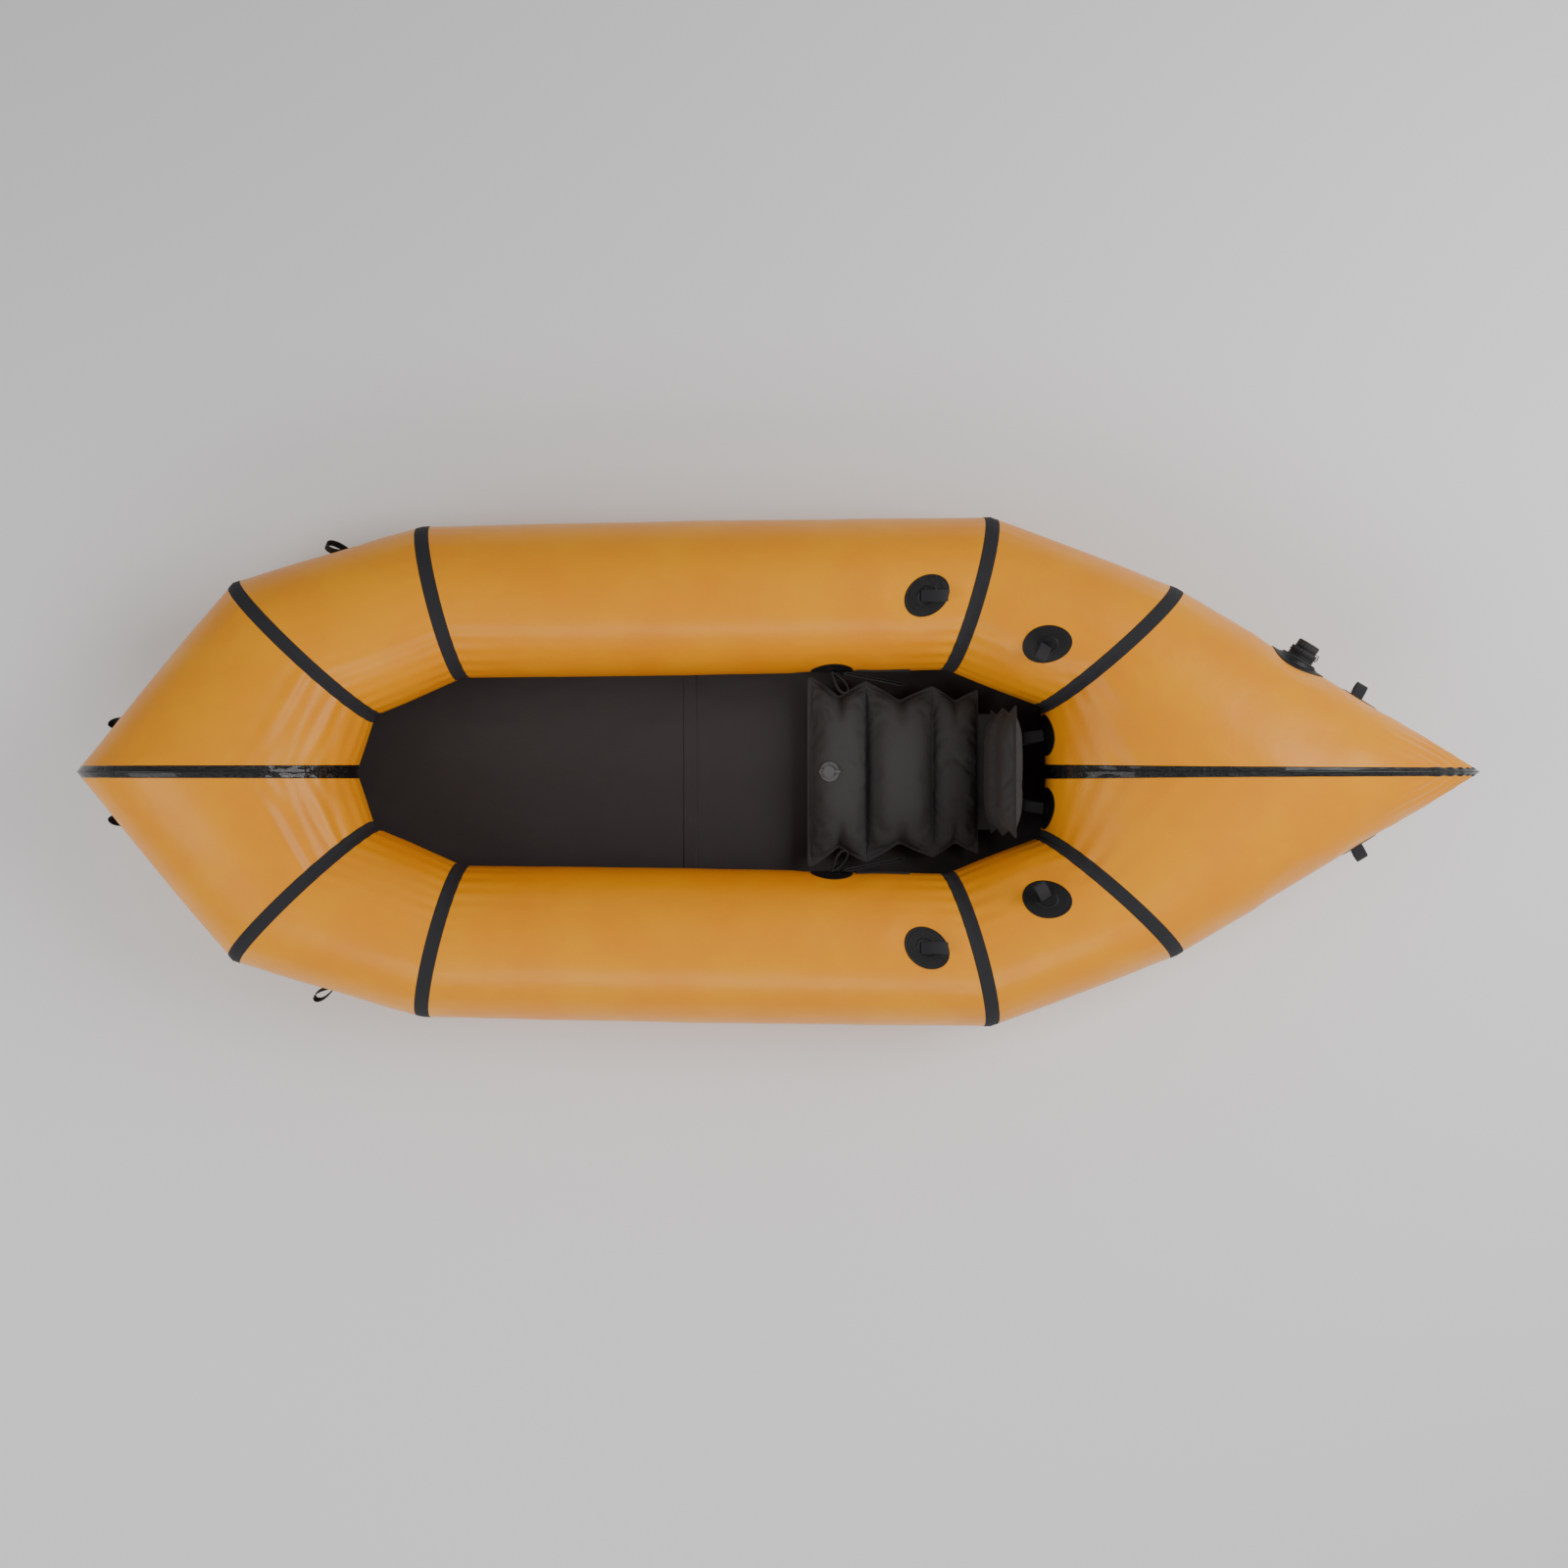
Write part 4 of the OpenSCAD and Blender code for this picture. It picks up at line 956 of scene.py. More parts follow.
@dataclass
class Floor:
    """The floor: two coated sheets that meet at a lap, run under the tubes and up their outer quarter."""

    thick: float = 1.0 * MM
    under: float = 0.95 * MM
    edge_angle: float = 297
    lap_x: float = 144 * MM
    band: float = 25 * MM
    band_thick: float = 0.5 * MM
    keel_start: float = 0.06
    low_shift: tuple[float, float] = (14, 24)
    wing_columns: int = 13
    middle_columns: int = 96
    fold: float = 4.0 * MM
    seat_front: float = -0.03

    def build(self) -> None:
        """Builds the two sheets, the lap band and the two rim bands."""
        lap = self._lap_share()
        fore = [(Panel.BOW, s) for s in np.linspace(self.keel_start, 1, 44)] \
            + [(Panel.FORE_SHOULDER, s) for s in np.linspace(0, 1, 20)[1:]] \
            + [(Panel.SIDE, s) for s in np.linspace(0, lap, 30)[1:]]
        aft = [(Panel.SIDE, s) for s in np.linspace(lap, 1, 70)] \
            + [(Panel.AFT_SHOULDER, s) for s in np.linspace(0, 1, 20)[1:]] \
            + [(Panel.STERN, s) for s in np.linspace(0, 1 - self.keel_start, 60)[1:]]
        for name, rows in (("floor_fore", fore), ("floor_aft", aft)):
            self._sheet(name, rows)
        self._lap_band()
        self._rim_bands(fore + aft[1:])

    def _lap_share(self) -> float:
        """Where the lap crosses the side panels' lowest line."""
        low = np.array(math.radians(270.0))
        start = FORM.stations[Panel.SIDE].point(low)
        return float((start[0] - self.lap_x) / -FORM.along(Panel.SIDE, low)[0])

    def _low_angle(self, panel: Panel, s: float) -> float:
        """Angle of the tube's lowest line, which moves inboard towards both tips."""
        shift = {Panel.BOW: self.low_shift[0] * (1 - s), Panel.STERN: self.low_shift[1] * s}
        return 270 - shift.get(panel, 0)

    def _folds(self, x: Array, y: Array, free: Array) -> Array:
        """Height of the loose fabric between the tubes: long soft folds and small wrinkles, never downwards.

        Args:
            x: Place along the boat.
            y: Place across it.
            free: How free the sheet is, from 0 where it meets a tube to 1 in the middle.

        Returns:
            The added height.
        """
        long = 0.5 + 0.5 * ripples(x * 0.35, y, 5, 0.11, 2)
        small = 0.5 + 0.5 * ripples(x, y * 0.8, 8, 0.06, 3)
        open_cockpit = smooth(self.seat_front, self.seat_front + 0.05, x)
        cross = np.exp(-((x - self.lap_x + 0.02) / 0.012) ** 2) * 0.5
        pattern = 0.75 * np.clip(long, 0, 1)**1.5 + 0.3 * small + cross * small
        return self.fold * open_cockpit * free * pattern

    def _row(self, panel: Panel, s: float, height: float) -> Array:
        """One row across the boat, from the port edge to the starboard one.

        Args:
            panel: The panel above.
            s: Share of that panel's length.
            height: How far below the tubes' fabric the wall lies.

        Returns:
            The row's points.
        """
        low = self._low_angle(panel, s)
        f = np.radians(np.linspace(self.edge_angle, low, self.wing_columns))
        share = np.full_like(f, s)
        plain = FORM.point(panel, share, f)
        wing = FORM.skin(panel, share, f, height) - (FORM.skin(panel, share, f) - plain)
        t = np.linspace(1, -1, self.middle_columns)[1:-1]
        end = wing[-1]
        middle = np.stack([np.full_like(t, end[0]), end[1] * t, np.full_like(t, end[2])], -1)
        free = smooth(0, 0.09, (1 - np.abs(t)) * abs(end[1]) - 0.012)
        middle[:, 2] += self._folds(middle[:, 0], middle[:, 1], free)
        return np.concatenate([wing, middle, wing[::-1] * np.array([1, -1, 1])])

    def _sheet(self, name: str, rows: list[tuple[Panel, float]]) -> None:
        """Builds one sheet and works out its flat area and width."""
        upper = np.stack([self._row(p, s, self.under) for p, s in rows])
        lower = np.stack([self._row(p, s, self.under + self.thick) for p, s in rows])
        piece = make_piece(f"{name}_sheet", slab_shell(upper, lower, upper[..., 1::-1]))
        dress(piece, FLOOR_FABRIC, HULL, name)
        cross = np.cross(upper[1:, 1:] - upper[:-1, :-1], upper[1:, :-1] - upper[:-1, 1:])
        area = float(np.linalg.norm(cross, axis=-1).sum() / 2)
        width = float(np.linalg.norm(np.diff(upper, axis=1), axis=-1).sum(axis=1).max())

    def _lap_band(self) -> None:
        """The tape over the lap, which follows the floor's folds."""
        reach = FORM.stations[Panel.SIDE].point(np.array(math.radians(270.0)))[1] - 25 * MM
        y = np.linspace(reach, -reach, 110)[None, :]
        x = self.lap_x + np.linspace(-self.band / 2, self.band / 2, 9)[:, None]
        half = float(FORM.point(Panel.SIDE, np.array(self._lap_share()), np.array(math.radians(270.0)))[1])
        free = smooth(0, 0.09, half - np.abs(y) - 0.012)
        floor_z = self.thick + self._folds(x + 0 * y, y + 0 * x, free + 0 * x)
        lower = np.stack(np.broadcast_arrays(x, y, floor_z + 0.15 * MM), -1)
        upper = lower + np.array([0, 0, self.band_thick])
        piece = make_piece("floor_lap_tape", slab_shell(upper, lower, upper[..., 1::-1]))
        dress(piece, FLOOR_FABRIC, HULL, "floor_lap_band")

    def _rim_bands(self, rows: list[tuple[Panel, float]]) -> None:
        """The bands that close the sheet's edges on to the tubes."""
        step = 4.5
        over = self.under + self.thick + 0.15 * MM
        shells = []
        for side in Side:
            walls = []
            for lift in (self.band_thick, 0.0):
                wall = []
                for panel, s in rows:
                    low = self._low_angle(panel, s)
                    inboard = self.edge_angle + (low - self.edge_angle) * np.array([0.25, 0.17, 0.09, 0.0])
                    f = np.radians(np.concatenate([inboard, self.edge_angle + step * np.array([0.5, 1.25, 2.0])]))
                    drop = np.array([over, over, over, over, over - 0.6 * MM, self.under, self.under]) + lift
                    share = np.full_like(f, s)
                    relief = FORM.skin(panel, share, f) - FORM.point(panel, share, f)
                    wall.append(FORM.skin(panel, share, f, drop) - relief)
                walls.append(on_side(np.stack(wall), side))
            shells.append(slab_shell(walls[0], walls[1], walls[0][..., :2]))
        dress(make_piece("floor_rim_tapes", *shells), SEAM_TAPE, HULL, "floor_rim_bands")


# ---------------------------------------------------------------- seat
@dataclass
class Cushion:
    """An inflatable cushion: two coated sheets, welded round their rim and between their channels.

    Across a channel each sheet rises as an ellipse, z = thickness / 2 * 2 * sqrt(g (1 - g)). Towards the
    ends of the channels it falls to the rim, and the rim is drawn inwards at each channel's middle, where
    the swollen fabric pinches into a short crease. Air pressure in a cloth simulation then fills it out.

    Attributes:
        name: The piece's name.
        origin: Middle of the first weld.
        run: Direction from the first weld to the last.
        up: Outward direction of the upper sheet.
        length: From the first weld to the last.
        widths: Width at the first and last weld.
        welds: Places of the welds as shares of the length.
        thickness: Thickness of each channel.
        flange: Width of the flat rim at the sides, before the first weld and after the last.
        seed: Which wrinkles it has.
        calm: How far along its middle a fitting keeps the upper sheet still, if there is one.
    """

    name: str
    origin: Array
    run: Array
    up: Array
    length: float
    widths: tuple[float, float]
    welds: tuple[float, ...]
    thickness: tuple[float, ...]
    flange: tuple[float, float, float]
    seed: int
    notch: float = 0.20
    columns: int = 61
    per_channel: int = 26
    weld_half: float = 1.6 * MM
    layer: float = 0.62 * MM
    pressure: float = 4.0
    frames: int = 18
    cap: float = 3 * MM
    calm: float | None = None
    still_radius: float = 21 * MM
    free_radius: float = 45 * MM

    def build(self, finish: Finish, body: str, *nodes: str) -> bpy.types.Object:
        """Builds the cushion.

        Args:
            finish: Its finish.
            body: The body it rides on.
            nodes: The CAD nodes that it replaces.

        Returns:
            The finished piece.
        """
        u, v = self._shares()
        upper, lower = (self._wall(u, v, sign) for sign in (1, -1))
        uv = np.stack(np.broadcast_arrays(u[:, None] * self.length, v[None, :] * self.widths[0] / 2), -1)
        piece = make_piece(self.name, slab_shell(upper, lower, uv))
        self._inflate(piece, u, v)
        finer = piece.modifiers.new("finer", "SUBSURF")
        finer.levels = finer.render_levels = 1
        dress(piece, finish, body, *nodes)
        return piece

    def _shares(self) -> tuple[Array, Array]:
        """Rows along the cushion, crowded at the welds, and columns across it, crowded at the rim."""
        narrow = self.weld_half / self.length
        rows = [-self.flange[1] / self.length, -narrow] if self.flange[1] else [-narrow]
        for a, b in zip(self.welds, self.welds[1:]):
            t = (1 - np.cos(np.linspace(0, np.pi, self.per_channel))) / 2
            rows += list(a + narrow + (b - a - 2 * narrow) * t)
        rows += [1 + narrow]
        if self.flange[2]:
            rows.append(1 + self.flange[2] / self.length)
        t = np.linspace(-1, 1, self.columns)
        inner = np.sin(t * np.pi / 2) * 0.5 + t * 0.5
        rim = 1 + self.flange[0] / (self.widths[0] / 2)
        return np.array(rows), np.concatenate([[-rim], inner, [rim]])

    def _stillness(self, along: Array, across: Array) -> Array:
        """0 within the still radius of the fitting, rising to 1 at the free radius."""
        if self.calm is None:
            return np.ones(np.broadcast_shapes(np.shape(along), np.shape(across)))
        return smooth(self.still_radius, self.free_radius, np.hypot(along - self.calm, across))

    def _channel(self, u: Array) -> tuple[Array, Array]:
        """Each row's share across its channel, from 0 to 1, and that channel's thickness."""
        edges = np.array(self.welds)
        k = np.clip(np.searchsorted(edges, u, side="right") - 1, 0, len(edges) - 2)
        narrow = self.weld_half / self.length
        g = (u - edges[k] - narrow) / (edges[k + 1] - edges[k] - 2 * narrow)
        return np.clip(g, 0, 1), np.array(self.thickness)[k]

    def _wall(self, u: Array, v: Array, sign: int) -> Array:
        """Points of the upper (1) or lower (-1) sheet."""
        g, thick = self._channel(u)
        g, thick, u2 = g[:, None], thick[:, None], u[:, None]
        inside = (np.abs(v) <= 1.0001)[None, :]
        a = np.minimum(np.abs(v), 1)[None, :]
        half = (self.widths[0] + (self.widths[1] - self.widths[0]) * np.clip(u2, 0, 1)) / 2
        drawn = self.notch * (1 - np.abs(2 * g - 1) ** 0.85) * (thick / max(self.thickness)) ** 0.5
        swollen = 2 * np.sqrt(np.clip(g * (1 - g), 0, 1))
        end = (1 - a**3.4) ** 0.55
        pinch = 1 - 0.45 * np.exp(-((g - 0.5) / 0.07) ** 2) * smooth(0.62, 1.0, a)
        along, across = u2 * self.length, v[None, :] * half
        wrinkle = 1 + self._stillness(along, across) * (
            0.05 * ripples(along, across, self.seed, 0.07, 2) * smooth(0.35, 1, a)
            + 0.018 * ripples(along, across, self.seed + 1, 0.16, 2))
        height = np.where(inside, thick / 2 * swollen * end * pinch * wrinkle, 0)
        side = across * (1 - drawn)
        front = smooth(0.0, 0.02, u2 + 0.5 * (u2 < 0))
        wave = 2.2 * MM * ripples(across, along * 0, self.seed + 2, 0.05, 2) * (1 - front)
        place = self.origin + (along + wave)[..., None] * self.run
        place = place + side[..., None] * np.array([0.0, 1.0, 0.0])
        return place + (sign * (self.layer + height))[..., None] * self.up

    def _inflate(self, piece: bpy.types.Object, u: Array, v: Array) -> None:
        """Fills the cushion with air: a cloth simulation with rim and welds held, then a cap on each move.

        Args:
            piece: The closed shell.
            u: Its rows, as shares of the length.
            v: Its columns, as shares of the half width.
        """
        g, _ = self._channel(u)
        held_row = (g <= 0) | (g >= 1)
        held_column = np.abs(v) > 0.985
        held = held_row[:, None] | held_column[None, :]
        both = np.concatenate([held, held[:, ::-1]], axis=1).reshape(-1)
        group = piece.vertex_groups.new(name="welds")
        group.add(np.flatnonzero(both).tolist(), 1.0, "REPLACE")
        before = np.empty(len(piece.data.vertices) * 3)
        piece.data.vertices.foreach_get("co", before)
        cloth = piece.modifiers.new("air", "CLOTH")
        settings = cloth.settings
        settings.quality = 6
        settings.mass = 0.25
        settings.tension_stiffness = settings.compression_stiffness = 18
        settings.shear_stiffness = 6
        settings.bending_stiffness = 0.4
        settings.shrink_min = -0.035
        settings.use_pressure = True
        settings.uniform_pressure_force = self.pressure
        settings.effector_weights.gravity = 0
        settings.vertex_group_mass = "welds"
        cloth.collision_settings.use_collision = False
        cloth.point_cache.frame_start, cloth.point_cache.frame_end = 1, self.frames
        for number in range(1, self.frames + 1):
            bpy.context.scene.frame_set(number)
        evaluated = piece.evaluated_get(bpy.context.evaluated_depsgraph_get())
        after = np.empty_like(before)
        evaluated.data.vertices.foreach_get("co", after)
        piece.modifiers.remove(cloth)
        bpy.context.scene.frame_set(1)
        before, after = before.reshape(-1, 3), after.reshape(-1, 3)
        move = after - before
        far = np.linalg.norm(move, axis=1, keepdims=True)
        move *= np.minimum(1, self.cap / np.maximum(far, 1e-9))
        move *= self._stillness((before - self.origin) @ self.run, before[:, 1])[:, None]
        limit = max(self.thickness) / 2 + self.layer
        place = before + move
        height = (place - self.origin) @ self.up
        place -= (height - np.clip(height, -limit, limit + 0.8 * MM))[:, None] * self.up
        piece.data.vertices.foreach_set("co", place.reshape(-1))
        piece.data.update()
        piece.vertex_groups.clear()
        log.info("%s: filled with air, moved up to %.1f mm", self.name, float(far.max()) / MM)


@dataclass
class Seat:
    """The inflatable seat, its backrest on a flat hinge web, and the two side straps."""

    front_x: float = -80 * MM
    length: float = 306 * MM
    widths: tuple[float, float] = (336 * MM, 290 * MM)
    thick: tuple[float, float, float] = (80 * MM, 80 * MM, 50 * MM)
    welds: tuple[float, ...] = (0, 0.33, 0.73, 1)
    valve_share: float = 0.099
    mid_z: float = 42.15 * MM
    flange: float = 8 * MM
    web: float = 24 * MM
    back_height: float = 180 * MM
    back_width: float = 214 * MM
    back_thick: float = 36 * MM
    back_gap: float = 1.2 * MM
    lean: float = 3.0
    strap_width: float = 15 * MM
    ply: float = 1.5 * MM
    strap_gap: float = 3 * MM
    strap_rear: float = 0.53
    strap_reach: float = 22 * MM

    @property
    def hinge_x(self) -> float:
        """Where the backrest folds."""
        return self.front_x - self.length - self.web

    def build(self) -> None:
        """Builds every piece of the seat."""
        seat = Cushion("seat_cushion", np.array([self.front_x, 0, self.mid_z]), np.array([-1.0, 0, 0]),
                       np.array([0, 0, 1.0]), self.length, self.widths, self.welds, self.thick,
                       (self.flange, self.flange, 0), 21, calm=self.valve_share * self.length)
        seat.build(SEAT_FABRIC, HULL, "seat_top_sheet", "seat_bottom_sheet")
        lean = math.radians(self.lean)
        run = np.array([-math.sin(lean), 0, math.cos(lean)])
        front = np.array([math.cos(lean), 0, math.sin(lean)])
        base = np.array([self.hinge_x, 0, self.mid_z]) + self.back_gap * run
        back = Cushion("backrest_cushion", base, run, front, self.back_height, (self.back_width,) * 2,
                       (0, 0.5, 1), (self.back_thick,) * 2, (self.flange, 0, self.flange), 27, notch=0.10)
        back.build(SEAT_FABRIC, "backrest", "backrest_front_sheet", "backrest_rear_sheet")
        self._hinge_web()
        for side in Side:
            self._strap(side)

    def _hinge_web(self) -> None:
        """The flat web behind the cushion, which bends up into the backrest's lower edge."""
        turn = np.linspace(0, np.pi / 2, 9)[1:]
        bend = 2.2 * MM
        flat = np.linspace(self.front_x - self.length - 0.5 * MM, self.hinge_x + bend, 10)
        x = np.concatenate([flat, flat[-1] - bend * np.sin(turn)])
        z = np.concatenate([np.full_like(flat, 0.0), bend * (1 - np.cos(turn))]) + self.mid_z
        half = self.back_width / 2
        y = np.linspace(half, -half, 60)
        path = np.stack(np.broadcast_arrays(x[:, None], y[None], z[:, None]), -1)
        tangent = unit(np.gradient(path[:, 0], axis=0))
        normal = np.cross(np.array([0, 1.0, 0]), tangent)[:, None]
        puckers = 0.25 * MM * ripples(path[..., 0], path[..., 1], 41, 0.02, 2)[..., None]
        wall = path + puckers * normal
        half_ply = 0.3 * MM * normal
        piece = make_piece("backrest_web", slab_shell(wall + half_ply, wall - half_ply, path[..., :2]))
        dress(piece, SEAT_FABRIC, None, "backrest_hinge_web")
        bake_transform(piece)

    def _strap(self, side: Side) -> None:
        """Two plies of webbing on edge from the side tube to the cushion's rim, joined round at both ends."""
        total = 2 * self.ply + self.strap_gap
        start = FORM.local(SPOTS["seat", Side.PORT], np.array(self.strap_reach), np.array(0.0),
                           np.array((0.35 + 1 + 1.2) * MM + total / 2))
        half = (self.widths[0] + (self.widths[1] - self.widths[0]) * self.strap_rear) / 2
        end_x = self.front_x - self.strap_rear * self.length
        fall = math.atan2(start[2] - self.mid_z - self.strap_width / 2, start[0] - end_x)
        end = np.array([end_x, half + self.flange - total / 2, self.mid_z + 1.0 * MM
                        + self.strap_width / 2 * math.cos(fall) + total / 2 * math.sin(fall)])
        run, length = unit(end - start), float(np.linalg.norm(end - start))
        across = unit(np.cross([0.0, 0, 1], run))
        up = np.cross(run, across)
        r = (self.ply + self.strap_gap) / 2
        t = np.linspace(0, 1, 40)
        bend = np.linspace(-np.pi / 2, np.pi / 2, 10)[1:-1]
        sag = 1.0 * MM * np.sin(np.pi * t)
        outline = np.concatenate([
            np.stack([t * length, -r + 0 * t + 0.4 * sag], -1),
            np.stack([length + r * np.cos(bend), r * np.sin(bend)], -1),
            np.stack([t[::-1] * length, r - 0.6 * sag[::-1]], -1),
            np.stack([-r * np.cos(bend), -r * np.sin(bend)], -1)])
        path = start + outline[:, :1] * run + outline[:, 1:] * across
        band = ribbon_shell(on_side(path, side), on_side(up, side), self.strap_width, self.ply, closed=True)
        node = f"seat_strap_{side.label}"
        dress(make_piece(f"{node}_webbing", band), WEBBING, HULL, node)


# ---------------------------------------------------------------- fittings
@dataclass
class Lashings:
    """Round patches with a raised ring, and a folded webbing loop through each."""

    patch: float = 75 * MM
    patch_thick: float = 1.0 * MM
    patch_gap: float = 0.35 * MM
    ring: float = 35 * MM
    ring_rise: float = 0.8 * MM
    width: float = 20 * MM
    ply: float = 1.5 * MM
    length: float = 45 * MM
    eye: float = 12 * MM
    play: float = 0.4 * MM
    anchor: tuple[float, float] = (0.81, 0.92)
    anchor_angle: float = 177

    def build(self) -> None:
        """Builds the four groups of patches, the loops and the straps' anchors."""
        groups = {"deck_patches": ("deck", "shoulder"), "bow_patches": ("bow", "fore"),
                  "stern_patches": ("stern",), "cockpit_patches": ("seat", "backrest")}
        for node, names in groups.items():
            discs = [self._disc(SPOTS[name, side], side) for name in names for side in Side]
            dress(make_piece(f"{node}_discs", *discs), PATCH_RUBBER, HULL, node)
        for (name, side), spot in SPOTS.items():
            node = f"{name}_loop_{side.label}"
            dress(make_piece(f"{node}_webbing", *self._loop(spot, side)), WEBBING, node, node)
        self._anchors()

    def _disc(self, spot: Spot, side: Side) -> Shell:
        """One patch: rings of points over the tube, out along the top and back underneath.

        The top is flat with a rounded edge and a shallow welded groove inside it. The raised ring has a
        rounded rim and a sunk middle, where a low collar closes round the webbing.

        Args:
            spot: Where it sits.
            side: Which side of the boat.

        Returns:
            The disc.
        """
        edge, ring = self.patch / 2, self.ring / 2
        r = np.concatenate([np.linspace(0.6 * MM, ring - 4 * MM, 10),
                            ring - MM * np.array([3.2, 2.6, 2.0, 1.3, 0.7, 0.2, 0]),
                            np.linspace(ring + 1 * MM, edge - 6 * MM, 8),
                            edge - MM * np.array([5.2, 4.6, 4.0, 3.4, 2.8, 1.6, 0.8, 0.35, 0.1, 0])])
        top = np.full_like(r, self.patch_thick)
        crown = self.ring_rise * (1 - smooth(ring - 0.9 * MM, ring + 0.1 * MM, r))
        sunk = 0.55 * self.ring_rise * (1 - smooth(ring - 3.4 * MM, ring - 2.2 * MM, r))
        groove = 0.3 * MM * np.exp(-((r - edge + 4 * MM) / (0.6 * MM)) ** 2)
        past = np.maximum(r - edge + 1.2 * MM, 0) / (1.2 * MM)
        fall = self.patch_thick * 0.8 * (1 - np.sqrt(np.clip(1 - past ** 2, 0, 1)))
        top = top + crown - sunk - groove - fall
        r = np.concatenate([r, np.linspace(edge, 0.6 * MM, 8)])
        top = np.concatenate([top, np.zeros(8)])
        a = (np.arange(72) * TURN / 72)[None, :]
        x, y = r[:, None] * np.cos(a), r[:, None] * np.sin(a)
        slot = math.radians(spot.turn)
        u = (x - spot.shift * MM) * math.cos(slot) + y * math.sin(slot)
        v = y * math.cos(slot) - (x - spot.shift * MM) * math.sin(slot)
        beside_slot = np.abs(u) < self.width / 2 + 1.5 * MM
        collar = 0.35 * MM * np.exp(-((np.abs(v) - 2.6 * MM) / (0.8 * MM)) ** 2) * beside_slot
        inner = (r[:, None] < ring - 4 * MM) * (top[:, None] > 0)
        points = FORM.local(spot, x, y, self.patch_gap + top[:, None] + collar * inner)
        uv = np.stack([r[:, None] * np.cos(np.append(a, TURN)), r[:, None] * np.sin(np.append(a, TURN))], -1)
        return tube_shell(on_side(points, side), uv, wrap=False, caps=True)

    def _loop(self, spot: Spot, side: Side) -> list[Shell]:
        """One loop of folded webbing: x = L (1 - cos t) / 2 and y = 0.77 W sin t sin(t / 2)^1.2.

        Args:
            spot: Where its patch sits.
            side: Which side of the boat.

        Returns:
            The teardrop band and the round bead at its foot.
        """
        height = self.patch_gap + self.patch_thick + self.ring_rise + self.play + self.ply
        place, n, axis, lean = FORM.spot_axes(spot, height)
        rest = math.radians(spot.rest)
        run = lean * math.cos(rest) + n * math.sin(rest)
        rise = np.cross(axis, run)
        t = (np.arange(72) + 0.5) * TURN / 72
        x = (self.length - self.ply / 2) * (1 - np.cos(t)) / 2
        y = (self.eye + self.ply) * 0.77 * np.sin(t) * np.sin(t / 2) ** 1.2
        path = place + x[:, None] * run + y[:, None] * rise
        mirrored_axis = on_side(axis, side)
        band = ribbon_shell(on_side(path, side), mirrored_axis, self.width, self.ply, closed=True)
        bead_r = self.ply
        across = np.linspace(-1, 1, 13)
        bulge = np.sqrt(np.clip(1 - np.abs(across) ** 8, 0.04, 1)) * bead_r
        turn = np.arange(20) * TURN / 20
        out, over = bulge[:, None] * np.cos(turn), bulge[:, None] * np.sin(turn)
        ring = out[..., None] * run + over[..., None] * rise
        bead = place + ring + (across * self.width / 2)[:, None, None] * axis
        uv = np.stack(np.broadcast_arrays((across * self.width / 2)[:, None],
                                          np.arange(21)[None] * TURN / 20 * bead_r), -1)
        return [band, tube_shell(on_side(bead, side), uv, wrap=False, caps=True)]

    def _anchors(self) -> None:
        """A strip of webbing welded along each side tube where the seat's straps are made fast."""
        f = math.radians(self.anchor_angle)
        half = self.width / FORM.tube
        s = np.linspace(*self.anchor, 60)[:, None]
        angles = np.linspace(f - half, f + half, 13)[None, :]
        lower = FORM.skin(Panel.SIDE, s, angles, self.patch_gap)
        length = float(np.linalg.norm(FORM.along(Panel.SIDE, np.array(f))))
        uv = np.stack(np.broadcast_arrays((angles - f) * FORM.tube / 2, s * length), -1)
        lift = self.ply * (0.55 + 0.45 * (1 - np.abs(np.linspace(-1, 1, 13)) ** 6))[None, :]
        upper = FORM.skin(Panel.SIDE, s, angles, self.patch_gap + lift)
        shells = [slab_shell(on_side(upper, side), on_side(lower, side), uv) for side in Side]
        dress(make_piece("strap_anchors", *shells), WEBBING, HULL, "anchor_webbing")


